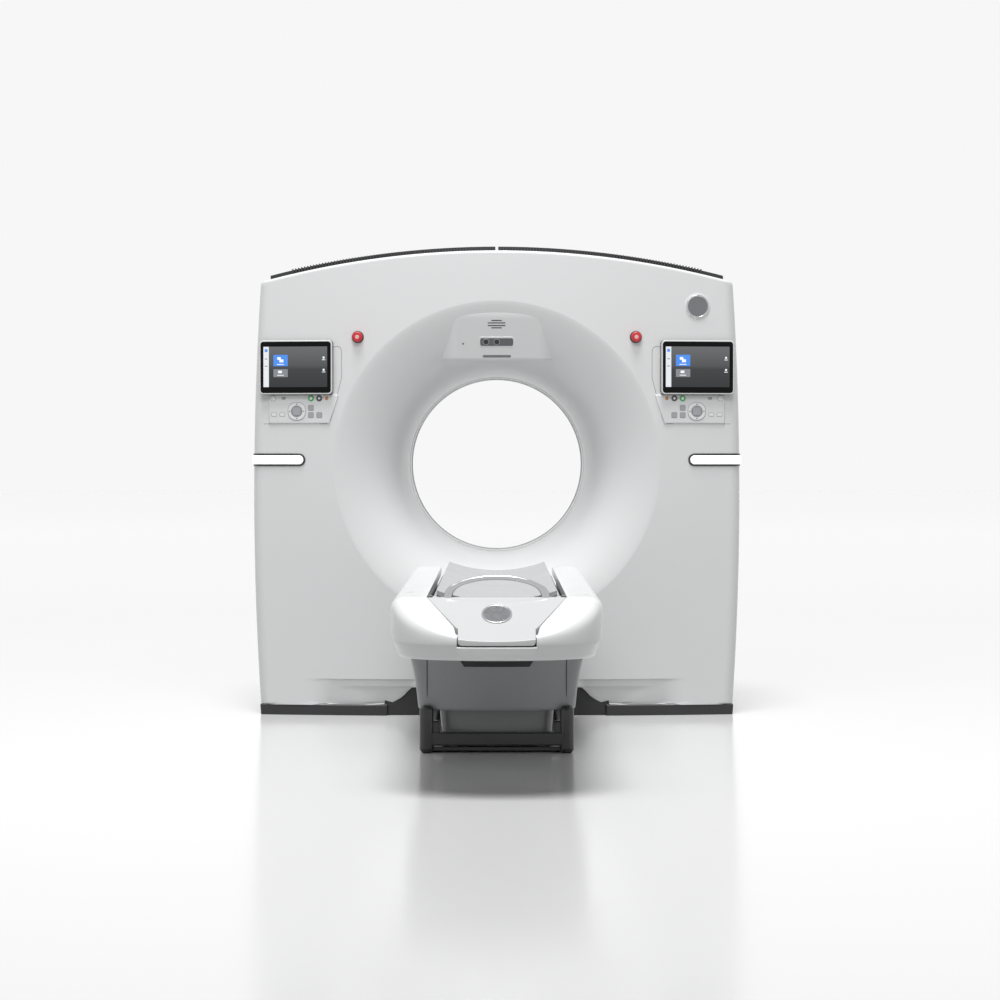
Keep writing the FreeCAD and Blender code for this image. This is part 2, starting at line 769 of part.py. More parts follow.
FAN_Y = "stator_front - fan_size / 2"
for side, sign in (("left", "-"), ("right", "")):
    centre = sign + "fan_x"
    frame_x = (centre + " - fan_size / 2", centre + " + fan_size / 2")
    block = box("fan_block_" + side, frame_x, ("stator_front - fan_size", "stator_front"),
                ("fan_bottom", "fan_bottom + fan_depth"))
    throat = solid("Cylinder", "fan_throat_" + side, (centre, FAN_Y, "fan_bottom - 1"),
                   Radius="fan_bore", Height="fan_depth + 2")
    boss = solid("Cylinder", "fan_boss_" + side, (centre, FAN_Y, "fan_bottom"),
                 Radius="fan_hub", Height="fan_floor")
    spokes = [box("fan_spoke_along_" + side, (centre + " - fan_spoke / 2",
                                              centre + " + fan_spoke / 2"),
                  (FAN_Y + " - fan_bore - 2", FAN_Y + " + fan_bore + 2"),
                  ("fan_bottom", "fan_bottom + fan_floor")),
              box("fan_spoke_across_" + side, (centre + " - fan_bore - 2",
                                               centre + " + fan_bore + 2"),
                  (FAN_Y + " - fan_spoke / 2", FAN_Y + " + fan_spoke / 2"),
                  ("fan_bottom", "fan_bottom + fan_floor"))]
    node("fan_housing_" + side, join("fan_frame_" + side, cut("fan_ring_" + side, block, throat),
                                     boss, *spokes))

    wheel_low = "fan_bottom + fan_floor + running_gap"
    wheel_height = "fan_depth - fan_floor - 2 * running_gap"
    pieces = [solid("Cylinder", "fan_cup_" + side, (centre, FAN_Y, wheel_low),
                    Radius="fan_hub", Height=wheel_height)]
    for index in range(7):
        blade = solid("Box", "fan_blade_%s_%d" % (side, index), Length="fan_wheel",
                      Width="blade_thick", Height=wheel_height + " - 4")
        blade.Placement.Rotation = Rotation(Vector(0, 0, 1), index * 360 / 7)
        place(blade, centre, FAN_Y, wheel_low + " + 2")
        pieces.append(blade)
    node("fan_" + side, join("fan_wheel_" + side, *pieces))

# ---------------------------------------------------------------------------------------------
# What is fitted to the front cover
# ---------------------------------------------------------------------------------------------

KEY_SPAN = ("-keypad_thick - key_proud", "-key_travel - key_gap")


def key_on(name, side, across, up, radius, span):
    """A round key, or its well, that runs square to the front face beside the tablet."""
    item = rod(name + "_" + side, across, up, span[0], "%s - (%s)" % (span[1], span[0]), radius)
    return item


def on_panel(item, sign):
    """Stand a piece on the front face where one of the two control panels is."""
    return on_front(item, sign + "panel_x")


for side, sign in (("left", "-"), ("right", "")):
    # Places across are from the middle of the panel, and are mirrored on the left.
    tablet_x = sign + "(tablet_x - panel_x)"
    tablet_low = tablet_x + " - tablet_width / 2"
    tablet_high = tablet_x + " + tablet_width / 2"
    tablet = prism("tablet_case_" + side, "front",
                   [(tablet_low, "tablet_z - tablet_height / 2"),
                    (tablet_high, "tablet_z - tablet_height / 2"),
                    (tablet_high, "tablet_z + tablet_height / 2"),
                    (tablet_low, "tablet_z + tablet_height / 2")], "-tablet_thick", "0")
    node("tablet_" + side, on_panel(round_edges(tablet, "tablet_round", lengthwise), sign))

    # The keypad's plate is a tapered panel whose slanted end is beside the flare.
    plate_points = [("(keypad_waist - panel_x)", "keypad_bottom"),
                    ("(keypad_outer - panel_x)", "keypad_bottom"),
                    ("(keypad_outer - panel_x)", "keypad_key_top"),
                    ("(keypad_inner - panel_x)", "keypad_key_top")]
    if side == "left":
        plate_points = [("-" + across, up) for across, up in reversed(plate_points)]
    plate = prism("keypad_blank_" + side, "front", plate_points, "-keypad_thick", "0")
    dial_x = sign + "(dial_x - panel_x)"
    dial_half = "(dial_size / 2 + key_gap)"
    wells = [box("dial_well_" + side, (dial_x + " - " + dial_half, dial_x + " + " + dial_half),
                 ("-keypad_thick - 1", "1"), ("dial_z - " + dial_half, "dial_z + " + dial_half))]
    for key in ("start", "stop"):
        wells.append(key_on(key + "_well", side, "%s(%s_x - panel_x)" % (sign, key), "key_z",
                            "key_radius + key_gap", ("-keypad_thick - 1", "1")))
    plate_cut = cut("keypad_plate_" + side, plate, *wells)
    node("keypad_" + side, on_panel(plate_cut, sign))

    dial = box("dial_block_" + side, (dial_x + " - dial_size / 2", dial_x + " + dial_size / 2"),
               KEY_SPAN, ("dial_z - dial_size / 2", "dial_z + dial_size / 2"))
    node("dial_" + side, on_panel(wrap("dial_cap_" + side, dial), sign))
    for key in ("start", "stop"):
        cap = key_on(key + "_cap", side, "%s(%s_x - panel_x)" % (sign, key), "key_z",
                     "key_radius", KEY_SPAN)
        node("%s_key_%s" % (key, side), on_panel(wrap("%s_whole_%s" % (key, side), cap), sign))

    head = rod("estop_head_" + side, "0", "estop_z", "-estop_lift - estop_height",
               "estop_height", "estop_radius")
    stem = rod("estop_shaft_" + side, "0", "estop_z", "-estop_lift",
               "estop_lift + cover_wall", "estop_stem")
    node("estop_" + side, on_front(join("estop_whole_" + side, head, stem), sign + "estop_x"))

handle_form = gantry_form("handle_form", "handle_proud", "cover_bottom")
handle_shell = cut("handle_shell", handle_form, seat_form)
for side, reach in (("left", ("-" + SIDE_REACH, "-handle_inner")),
                    ("right", ("handle_inner", SIDE_REACH))):
    zone = box("handle_zone_" + side, reach, (FRONT, "-handle_back"),
               ("handle_z - handle_height / 2", "handle_z + handle_height / 2"))
    node("side_handle_" + side, common("handle_bar_" + side, handle_shell, zone))

badge = rod("badge_disc", "0", "badge_z", "-badge_thick", "badge_thick", "badge_radius")
node("gantry_badge", on_front(wrap("badge_whole", badge), "badge_x"))

BROW_LEAN = "atan((brow_depth - 6) / (brow_top - brow_foot))"
sensor = solid("Box", "sensor_pane", Length="sensor_half * 2", Width="sensor_thick",
               Height="sensor_height")
sensor.Placement.Rotation = Rotation(Vector(1, 0, 0), 0)
sensor.setExpression("Placement.Rotation.Angle", formula(BROW_LEAN))
place(sensor, "-sensor_half",
      "%s + brow_depth - (brow_depth - 6) * sensor_place / (brow_top - brow_foot)"
      " - sensor_thick / cos(%s)" % (FRONT, BROW_LEAN), "brow_foot + sensor_place")
node("sensor_window", sensor)

screws = []
for index, (across, up) in enumerate((("-", "screw_low"), ("", "screw_low"),
                                      ("-", "screw_high"), ("", "screw_high"))):
    screw = rod("cover_screw_%d" % index, "0", "cover_bottom + " + up, "-screw_head",
                "screw_head", "screw_radius")
    screws.append(on_front(wrap("cover_screw_whole_%d" % index, screw),
                           across + "(foot_half - screw_inset)"))
node("cover_screws", mirror("cover_screws_rear", join("cover_screw_set", *screws),
                            Vector(0, 1, 0)))

# ---------------------------------------------------------------------------------------------
# Patient table: base, column and skirts
# ---------------------------------------------------------------------------------------------

runners = []
posts = []
for side, sign in (("left", "-"), ("right", "")):
    across = ("post_inner", "post_outer") if sign == "" else ("-post_outer", "-post_inner")
    runners.append(box("runner_" + side, across, ("-table_foot", "-plinth_front"),
                       ("0", "runner_height")))
    posts.append(box("post_" + side, across, ("-table_foot", "-table_foot + post_length"),
                     ("0", "post_height")))
crossbar = box("crossbar", ("-post_inner", "post_inner"),
               ("-table_foot", "-table_foot + post_length"), ("0", "runner_height"))
floor_plate = box("floor_plate", ("-post_inner", "post_inner"),
                  ("-skirt_front", "-skirt_back"), ("0", "base_floor"))
table_anchor_holes = [solid("Cylinder", "table_anchor_%d" % index,
                            (across + "table_anchor_x", "-" + along, "-1"),
                            Radius="anchor_radius", Height="runner_height + 2")
                      for index, (across, along) in enumerate(
                          ((a, b) for a in ("-", "")
                           for b in ("table_anchor_front", "table_anchor_back")))]
table_blank = join("table_base_blank", *runners, *posts, crossbar, floor_plate)
node("table_base", cut("table_base_frame", table_blank, *table_anchor_holes))


def tube(name, step, bottom, height):
    """One square tube of the column: each fits inside the last by a whole number of steps."""
    half = "column_half - %s * column_step" % step
    length = "column_half_length - %s * column_step" % step
    outside = box(name + "_outside", ("-(%s)" % half, half),
                  ("-column_y - (%s)" % length, "-column_y + (%s)" % length),
                  (bottom, "%s + %s" % (bottom, height)))
    inside = box(name + "_inside", ("-(%s) + column_wall" % half, half + " - column_wall"),
                 ("-column_y - (%s) + column_wall" % length,
                  "-column_y + (%s) - column_wall" % length),
                 (bottom + " - 1", "%s + %s + 1" % (bottom, height)))
    return cut(name, outside, inside)


node("column_outer", tube("outer_tube", "0", "base_floor", "column_height"))
node("column_middle", tube("middle_tube", "1", "mid_bottom", "mid_height"))
node("column_inner", tube("inner_tube", "2", "inner_bottom",
                          "(cover_low + table_wall - inner_bottom)"))


def skirt(name, half, foot_half, front, back, bottom, knee, height):
    """A skirt open at both ends, with sides that draw in towards the floor."""
    top = "%s + %s" % (bottom, height)

    def outline(inset, low, high):
        wide = "(%s - %s)" % (half, inset)
        narrow = "(%s - %s)" % (foot_half, inset)
        return [("-" + narrow, low), (narrow, low), (wide, knee), (wide, high),
                ("-" + wide, high), ("-" + wide, knee)]
    outside = prism(name + "_outside", "front", outline("0", bottom, top), "-" + front,
                    "-" + back)
    inside = prism(name + "_inside", "front", outline("skirt_wall", bottom + " - 2", top + " + 2"),
                   "-%s + skirt_wall" % front, "-%s - skirt_wall" % back)
    return cut(name, outside, inside)


node("lower_skirt", skirt("lower_skirt_wall", "skirt_half", "skirt_foot_half", "skirt_front",
                          "skirt_back", "base_floor", "(base_floor + skirt_taper)",
                          "skirt_height"))
GLIDE = "(skirt_half + glide_gap + skirt_wall)"
node("middle_skirt", skirt("middle_skirt_wall", GLIDE, GLIDE,
                           "(skirt_front + glide_gap + skirt_wall)",
                           "(skirt_back - glide_gap - skirt_wall)", "mid_skirt_bottom",
                           "(mid_skirt_bottom + mid_skirt_height / 2)", "mid_skirt_height"))
node("upper_skirt", skirt("upper_skirt_wall", "upper_skirt_half", "upper_skirt_foot",
                          "upper_skirt_front", "upper_skirt_back", "upper_skirt_bottom",
                          "upper_skirt_knee", "(cover_low - upper_skirt_bottom)"))
node("lift_motor", solid("Cylinder", "lift_motor_can", ("0", "-lift_motor_place", "base_floor"),
                         Radius="lift_motor_radius", Height="lift_motor_height"))

# ---------------------------------------------------------------------------------------------
# Patient table: top
# ---------------------------------------------------------------------------------------------

CRADLE_LOW = "cradle_middle - cradle_thick"
CARRIAGE_LOW = "rail_top + running_gap"
FRAME_LOW = "cover_low + table_wall"
FRAME_FLOOR = "cover_low + table_wall + frame_plate"


def cover_outline(inset, top):
    low = "(cover_low_half - %s)" % inset
    belt = "(cover_belt_half - %s)" % inset
    high = "(cover_top_half - %s)" % inset
    bottom = "cover_low + " + inset
    return [("-" + low, bottom), (low, bottom), (belt, "cover_belt"), (high, top),
            ("-" + high, top), ("-" + belt, "cover_belt")]


table_outside = prism("table_outside", "front", cover_outline("0", "cover_high"),
                      "-cover_foot", "-cover_head")
table_inside = prism("table_inside", "front",
                     cover_outline("table_wall", "cover_high - table_wall"),
                     "-cover_slope_top + table_wall * 4", "-cover_head - table_wall")
channel = box("channel", ("-channel_half", "channel_half"),
              ("-cover_foot - 1", "-cover_head + 1"), (CRADLE_LOW + " - cap_play",
                                                       "cover_high + 1"))
cap_slot = box("cap_slot", ("-cap_neck_half - cap_inset", "cap_neck_half + cap_inset"),
               ("-cover_foot - 1", "-cover_slope_top + 200"),
               ("cap_bottom - cap_inset", "cover_high + 1"))
slope = prism("slope", "side",
              [("-cover_foot - 60", "cover_belt - 20"), ("-cover_foot", "cover_belt - 20"),
               ("-cover_slope_top", "cover_high"), ("-cover_slope_top", "cover_high + 60"),
               ("-cover_foot - 60", "cover_high + 60")], "-cover_belt_half * 2",
              "cover_belt_half * 2")
carriage_slot = box("carriage_slot", ("-carriage_half - cap_inset", "carriage_half + cap_inset"),
                    ("-carriage_head - 1", "-cover_head + 1"),
                    (CARRIAGE_LOW + " - cap_inset", "cover_high + 1"))
column_hole = box("column_hole", ("-column_half", "column_half"),
                  ("-column_y - column_half_length", "-column_y + column_half_length"),
                  ("cover_low - 1", FRAME_LOW + " + 1"))
node("table_cover", cut("table_cover_shell", table_outside, table_inside, channel, cap_slot,
                        slope, carriage_slot, column_hole))

frame_tray = box("frame_tray", ("-frame_half", "frame_half"), ("-frame_foot", "-frame_head"),
                 (FRAME_LOW, FRAME_FLOOR))
beams = []
rails = []
hollows = []
for side, sign in (("left", "-"), ("right", "")):
    beam_x = ("frame_half - beam_width", "frame_half")
    rail_x = ("rail_inner", "rail_outer")
    if sign:
        beam_x = ("-frame_half", "-frame_half + beam_width")
        rail_x = ("-rail_outer", "-rail_inner")
    beams.append(box("beam_" + side, beam_x, ("-frame_foot", "-frame_head"),
                     (FRAME_LOW, FRAME_LOW + " + beam_height")))
    rails.append(box("rail_" + side, rail_x, ("-frame_foot", "-frame_head"),
                     (FRAME_LOW, "rail_top")))
    for part_name, across, top in (("beam", beam_x, FRAME_LOW + " + beam_height"),
                                   ("rail", rail_x, "rail_top")):
        hollows.append(box("%s_hollow_%s" % (part_name, side),
                           (across[0] + " + beam_wall", across[1] + " - beam_wall"),
                           ("-frame_foot - 1", "-frame_head + 1"),
                           (FRAME_LOW + " + beam_wall", top + " - beam_wall")))
frame_solid = join("frame_solid", frame_tray, *beams, *rails)
node("table_frame", cut("table_frame_weldment", frame_solid, *hollows))
node("cradle_drive", box("cradle_drive_case", ("-drive_half", "drive_half"),
                         ("-drive_place", "-drive_place + drive_length"),
                         (FRAME_FLOOR, FRAME_FLOOR + " + drive_height")))

CARRIAGE_TOP = CRADLE_LOW + " - running_gap"
carriage_block = box("carriage_block", ("-carriage_half", "carriage_half"),
                     ("-carriage_foot", "-carriage_head"), (CARRIAGE_LOW, CARRIAGE_TOP))
carriage_space = box("carriage_space", ("-rail_inner", "rail_inner"),
                     ("-carriage_foot - 1", "-carriage_head + 1"),
                     (CARRIAGE_LOW + " - 1", CARRIAGE_TOP + " - carriage_wall"))
node("carriage", cut("carriage_bridge", carriage_block, carriage_space))

# The sagitta rule gives the radius of the hollow that the patient lies in.
HOLLOW = "((cradle_half ^ 2 + (cradle_edge - cradle_middle) ^ 2) / (cradle_edge - cradle_middle) / 2)"
UNDER_RISE = "(cradle_edge - cradle_lip - cradle_middle + cradle_thick)"
UNDER = "((cradle_half ^ 2 + %s ^ 2) / %s / 2)" % (UNDER_RISE, UNDER_RISE)
cradle_points = [("-cradle_half", "cradle_edge - cradle_lip"),
                 ("cradle_half", "cradle_edge - cradle_lip"), ("cradle_half", "cradle_edge"),
                 ("-cradle_half", "cradle_edge")]
node("cradle", prism("cradle_board", "front", cradle_points, "-cradle_foot", "-cradle_head",
                     {0: UNDER, 2: "-" + HOLLOW}))

cap_plate = box("cap_plate", ("-cap_half", "cap_half"), ("-cover_foot - 1", "-cradle_foot"),
                (CRADLE_LOW, "cap_top"))
cap_neck = box("cap_neck", ("-cap_neck_half", "cap_neck_half"),
               ("-cover_foot + cap_inset", "-cap_start"), ("cap_bottom", CRADLE_LOW))
node("cradle_end_cap", cut("cap_shape", join("cap_blank", cap_plate, cap_neck), slope))

GRIP_BEND = "((grip_half ^ 2 + grip_height ^ 2) / grip_height / 2)"
grip_hoop = solid("Torus", "grip_hoop", ("0", "-grip_place", "cap_top + grip_height - " + GRIP_BEND),
                  ALONG_Y, Radius1=GRIP_BEND, Radius2="grip_radius")
grip_room = box("grip_room", ("-grip_half * 2", "grip_half * 2"),
                ("-grip_place - grip_radius * 2", "-grip_place + grip_radius * 2"),
                ("cap_top", "cap_top + grip_height * 2"))
node("cradle_handle", common("grip_arch", grip_hoop, grip_room))

# ---------------------------------------------------------------------------------------------
# Check and export
# ---------------------------------------------------------------------------------------------

doc.recompute()
faults = [item.Name for item in doc.Objects if {"Invalid", "Error"} & set(item.State)]
faults += [item.Label for item in nodes if item.Shape.isNull() or not item.Shape.isValid()]
if faults:
    raise RuntimeError("objects that failed: " + ", ".join(faults))

os.makedirs("parts", exist_ok=True)
for item in nodes:
    item.Shape.exportStep("parts/%s.step" % item.Label)
print(len(nodes), "sub-parts")
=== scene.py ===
import math

import bmesh
import bpy
import numpy as np
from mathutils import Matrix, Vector


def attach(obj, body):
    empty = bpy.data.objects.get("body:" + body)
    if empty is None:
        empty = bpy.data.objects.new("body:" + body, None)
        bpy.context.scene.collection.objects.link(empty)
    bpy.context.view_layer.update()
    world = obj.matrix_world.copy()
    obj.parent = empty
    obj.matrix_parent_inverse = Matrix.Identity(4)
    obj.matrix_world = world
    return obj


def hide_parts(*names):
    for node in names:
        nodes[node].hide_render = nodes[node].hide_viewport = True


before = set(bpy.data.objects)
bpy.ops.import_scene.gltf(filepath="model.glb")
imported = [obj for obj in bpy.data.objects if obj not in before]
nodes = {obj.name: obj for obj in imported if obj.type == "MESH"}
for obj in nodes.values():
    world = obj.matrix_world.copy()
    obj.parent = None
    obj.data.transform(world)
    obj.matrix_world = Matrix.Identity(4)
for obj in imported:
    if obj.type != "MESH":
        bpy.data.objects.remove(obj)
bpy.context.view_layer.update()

# ---------------------------------------------------------------------------------------------
# Studio
# A pale glossy floor under a soft white sky, with a wide light overhead and a lamp in front of
# the gantry's top. The camera stands at the table's foot end and looks straight into the bore.
# ---------------------------------------------------------------------------------------------


class Wire:
    """One output socket of a finish. Arithmetic on wires adds the Math nodes for it."""

    def __init__(self, finish, socket):
        self.finish, self.socket = finish, socket

    def maths(self, operation, *values):
        """A Math node's result on some wires or numbers."""
        return self.finish.node("ShaderNodeMath", {"operation": operation}, *values)

    def __add__(self, other):
        return self.maths("ADD", self, other)

    __radd__ = __add__

    def __sub__(self, other):
        return self.maths("SUBTRACT", self, other)

    def __rsub__(self, other):
        return self.maths("SUBTRACT", other, self)

    def __mul__(self, other):
        return self.maths("MULTIPLY", self, other)

    __rmul__ = __mul__


class Finish:
    """A material built on one Principled shader, in an object's own coordinates."""

    def __init__(self, name, colour, roughness, metallic=0.0, **fixed):
        self.material = bpy.data.materials.new(name)
        self.material.use_nodes = True
        self.tree = self.material.node_tree
        self.shader = self.tree.nodes["Principled BSDF"]
        self.shader.inputs["Base Color"].default_value = (*colour, 1.0)
        self.shader.inputs["Roughness"].default_value = roughness
        self.shader.inputs["Metallic"].default_value = metallic
        for field, value in fixed.items():
            self.shader.inputs[field.replace("_", " ")].default_value = value

    def node(self, kind, settings=None, *values, output=0, **named):
        """Add a node: its settings first, then the values or links of its sockets."""
        item = self.tree.nodes.new(kind)
        for field, value in (settings or {}).items():
            if field == "stops":
                ramp = item.color_ramp
                while len(ramp.elements) < len(value):
                    ramp.elements.new(1.0)
                for stop, (place, shade) in zip(ramp.elements, value):
                    stop.position = place
                    stop.color = (*shade, 1.0) if isinstance(shade, tuple) else (shade,) * 3 + (1,)
            else:
                setattr(item, field, value)
        sockets = list(zip(item.inputs, values))
        sockets += [(item.inputs[field.replace("_", " ")], value)
                    for field, value in named.items()]
        for socket, value in sockets:
            if isinstance(value, Wire):
                self.tree.links.new(value.socket, socket)
            else:
                socket.default_value = value
        return Wire(self, item.outputs[output])

    def feed(self, field, wire):
        """Lead a wire to one of the shader's sockets."""
        self.tree.links.new(wire.socket, self.shader.inputs[field])

    def place(self):
        """The place on the piece, in metres in its own coordinates."""
        return self.node("ShaderNodeTexCoord", output="Object")

    def noise(self, scale, detail=3.0):
        """Soft random patches; a higher scale makes them smaller."""
        return self.node("ShaderNodeTexNoise", None, Vector=self.place(), Scale=scale,
                         Detail=detail, output="Fac")

    def bump(self, height, distance):
        """Relief from a height, as deep as a distance."""
        self.feed("Normal", self.node("ShaderNodeBump", None, Strength=1.0, Distance=distance,
                                      Height=height, output="Normal"))

    def mottle(self, scale, low, high):
        """Roughness that wanders between two values."""
        self.feed("Roughness", low + self.noise(scale) * (high - low))
        return self

    def grain(self, scale, distance):
        """A fine moulded or painted grain."""
        self.bump(self.noise(scale, 2.0), distance)
        return self


def linked(name, data):
    """A new object in the scene from a mesh, light or camera."""
    item = bpy.data.objects.new(name, data)
    bpy.context.scene.collection.objects.link(item)
    return item


def mesh_object(name, mesh, finish):
    """A mesh as an object with its finish."""
    mesh.materials.append(finish.material)
    return linked(name, mesh)


FLOOR_SEEN, FLOOR_BOUNCE = 0.77, 0.36
SKY_SEEN, SKY_FILL = 0.93, 0.32
floor_finish = Finish("studio_floor", (FLOOR_SEEN,) * 3, 0.16)
floor_finish.feed("Base Color", floor_finish.node(
    "ShaderNodeMapRange", None, To_Min=FLOOR_SEEN, To_Max=FLOOR_BOUNCE,
    Value=floor_finish.node("ShaderNodeLightPath", output="Is Diffuse Ray")))
FLOOR_REACH = 60.0
floor_mesh = bpy.data.meshes.new("floor")
floor_mesh.from_pydata([(x * FLOOR_REACH, y * FLOOR_REACH, 0)
                        for x, y in ((-1, -1), (1, -1), (1, 1), (-1, 1))], [], [(0, 1, 2, 3)])
mesh_object("floor", floor_mesh, floor_finish)

world = bpy.data.worlds.new("studio")
world.use_nodes = True
sky = world.node_tree.nodes["Background"]
sky.inputs["Color"].default_value = (1.0, 1.0, 1.0, 1.0)
sky_strength = world.node_tree.nodes.new("ShaderNodeMapRange")
sky_strength.inputs["To Min"].default_value = SKY_SEEN
sky_strength.inputs["To Max"].default_value = SKY_FILL
ray = world.node_tree.nodes.new("ShaderNodeLightPath")
world.node_tree.links.new(ray.outputs["Is Diffuse Ray"], sky_strength.inputs["Value"])
world.node_tree.links.new(sky_strength.outputs["Result"], sky.inputs["Strength"])
bpy.context.scene.world = world
bpy.context.scene.view_settings.view_transform = "Standard"

SUN_LEVEL, SUN_SPREAD, SUN_TILT, SUN_ROLL = 2.65, 24.0, 13.0, -2.0
ceiling = bpy.data.lights.new("ceiling_light", "SUN")
ceiling.energy = SUN_LEVEL
ceiling.angle = math.radians(SUN_SPREAD)
ceiling_item = linked("ceiling_light", ceiling)
ceiling_item.rotation_euler = (math.radians(SUN_TILT), math.radians(SUN_ROLL), 0.0)

LAMP_PLACE, LAMP_TARGET = Vector((-0.3, -3.4, 4.5)), Vector((0.0, -0.5, 1.8))
LAMP_LENGTH, LAMP_DEPTH, LAMP_WATTS = 3.2, 1.2, 70
lamp = bpy.data.lights.new("lamp_front", "AREA")
lamp.shape = "RECTANGLE"
lamp.size, lamp.size_y, lamp.energy = LAMP_LENGTH, LAMP_DEPTH, LAMP_WATTS
lamp_item = linked("lamp_front", lamp)
lamp_item.location = LAMP_PLACE
lamp_item.rotation_euler = (LAMP_TARGET - LAMP_PLACE).to_track_quat("-Z", "Y").to_euler()

LENS, SENSOR, LENS_SHIFT = 86.4, 36.0, 0.0032
CAMERA_PLACE, CAMERA_DIP = (0.0, -10.5, 1.09), 1.074
camera = bpy.data.cameras.new("camera")
camera.lens = LENS
camera.sensor_width = SENSOR
camera.shift_x = LENS_SHIFT
camera_item = linked("camera", camera)
camera_item.location = CAMERA_PLACE
camera_item.rotation_euler = (math.radians(90.0 - CAMERA_DIP), 0.0, 0.0)
bpy.context.scene.camera = camera_item

# ---------------------------------------------------------------------------------------------
# Plinth and base frame
# The gantry stands on a steel frame bolted to the floor. A black plinth of pressed steel sheet
# in a satin powder coat closes the frame in, and rises behind the covers' notch.
# ---------------------------------------------------------------------------------------------


def merged_mesh(node):
    """A copy of a piece's own mesh with its doubles merged and its flats whole."""
    work = bmesh.new()
    work.from_mesh(nodes[node].data)
    bmesh.ops.remove_doubles(work, verts=work.verts, dist=2e-5)
    bmesh.ops.dissolve_limit(work, angle_limit=math.radians(0.6), verts=work.verts,
                             edges=work.edges)
    mesh = bpy.data.meshes.new(node)
    work.to_mesh(mesh)
    work.free()
    return mesh


SHARP = 32.0


def soften(item, angle=SHARP):
    """Smooth shading, broken where faces meet at more than an angle."""
    mesh = item.data
    mesh.polygons.foreach_set("use_smooth", [True] * len(mesh.polygons))
    mesh.set_sharp_from_angle(angle=math.radians(angle))
    return item


def ease(item, width, segments=3):
    """Round a piece's edges by a modifier and keep its flats flat."""
    if width:
        bevel = item.modifiers.new("eased_edges", "BEVEL")
        bevel.width, bevel.segments = width, segments
        bevel.limit_method, bevel.angle_limit = "ANGLE", math.radians(SHARP)
        bevel.use_clamp_overlap = True
        bevel.harden_normals = False
    soften(item)
    weighted = item.modifiers.new("flat_faces", "WEIGHTED_NORMAL")
    weighted.keep_sharp = True
    return item


def trim(item, body, slot, *replaced):
    """Seat a finished piece on its body, in place of the named plain pieces. The slot is not used.
    """
    if replaced:
        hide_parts(*replaced)
    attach(item, body)
    return item


def dress(node, finish, slot, body, width):
    """Show a piece with eased edges and its finish in place of its plain form."""
    item = mesh_object(node + "_skin", merged_mesh(node), finish)
    return trim(ease(item, width), body, slot, node)


plinth_black = Finish("plinth_black", (0.014, 0.014, 0.016), 0.42, Coat_Weight=0.12)
plinth_black.mottle(6.0, 0.34, 0.52).grain(900.0, 0.0001)
steel = Finish("steel_frame", (0.3, 0.31, 0.33), 0.45, 0.85)
steel.mottle(18.0, 0.35, 0.55)
dress("base_plinth", plinth_black, "plinth_black", "gantry", 0.003)

# ---------------------------------------------------------------------------------------------
# Stator, bearing and rotor
# The stator is a cast aluminium plate on the base frame. It carries the large bearing, the
# rotor drum with the tube, detectors and power units, the slip ring and the drive belt.
# ---------------------------------------------------------------------------------------------
aluminium = Finish("aluminium_cast", (0.62, 0.63, 0.64), 0.5, 0.8)
aluminium.mottle(14.0, 0.42, 0.6).grain(300.0, 0.0003)
brass = Finish("brass_ring", (0.72, 0.52, 0.24), 0.3, 1.0)
motor_paint = Finish("motor_paint", (0.09, 0.11, 0.14), 0.4, Coat_Weight=0.3)
motor_paint.grain(250.0, 0.0003)
rubber = Finish("belt_rubber", (0.02, 0.02, 0.02), 0.7)
rubber.grain(500.0, 0.0002)
fan_plastic = Finish("fan_plastic", (0.05, 0.05, 0.055), 0.5)
fan_plastic.grain(400.0, 0.0001)
unit_grey = Finish("unit_grey", (0.42, 0.43, 0.45), 0.45, Coat_Weight=0.2)
unit_grey.grain(400.0, 0.0001)


def paint(finish, slot, *names):
    """Give plain inner pieces their finish as they are."""
    for name in names:
        nodes[name].data.materials.clear()
        nodes[name].data.materials.append(finish.material)


paint(steel, "steel_frame", "gantry_base_frame", "bearing_outer_race", "bearing_inner_race",
      "column_outer", "column_middle", "column_inner")
paint(aluminium, "aluminium_cast", "stator_frame", "rotor_drum", "heat_exchanger",
      "table_frame", "drive_pulley")
paint(brass, "brass_ring", "slip_ring")
paint(rubber, "belt_rubber", "drive_belt")
paint(fan_plastic, "fan_plastic", "fan_housing_left", "fan_housing_right", "fan_left",
      "fan_right", "brush_block")
paint(motor_paint, "motor_paint", "drive_motor", "lift_motor", "cradle_drive")
paint(unit_grey, "steel_frame", "xray_tube", "collimator", "detector_arc", "hv_generator")

# ---------------------------------------------------------------------------------------------
# Gantry covers
# Four moulded glass-fibre shells in a white satin paint. The front and the rear are bowed, and
# each has its flare moulded in: a trumpet that opens from the bore to a round mouth.
# ---------------------------------------------------------------------------------------------
ISO, BORE, MOUTH, THROAT, THROAT_FRONT = 1.05, 0.375, 0.683, 0.38, 0.12
HALF_LENGTH, BOW, SEAM = 0.5, 7.0, 0.29
COVER_FOOT, COVER_TOP, CROWN = 0.043, 1.942, 3.938
FOOT_HALF, CORNER_HALF, CORNER_HEIGHT, SIDE_RADIUS = 0.995, 0.992, 1.815, 13.3
SIDE_ROUND, TOP_ROUND, FOOT_ROUND = 0.045, 0.012, 0.006
LEDGE, TOE = 0.1535, 0.123
COVER_RETURN, RETURN_INSET = 0.05, 0.9935
NOTCH = ((0.348, 0.119), (0.360, 0.1172), (0.374, 0.111), (0.388, 0.0985), (0.404, 0.0815),
         (0.421, 0.0675), (0.438, 0.058), (0.458, 0.0485), (0.478, 0.0435), (0.5, COVER_FOOT))

cover_white = Finish("gantry_cover", (0.8, 0.805, 0.81), 0.3, Coat_Weight=0.25,
                     Coat_Roughness=0.12)
cover_white.mottle(2.5, 0.27, 0.34).grain(260.0, 0.00006)


def front_at(x):
    """How far in front of the isocentre the bowed face lies at a place across."""
    return BOW - HALF_LENGTH - math.sqrt(BOW * BOW - x * x)


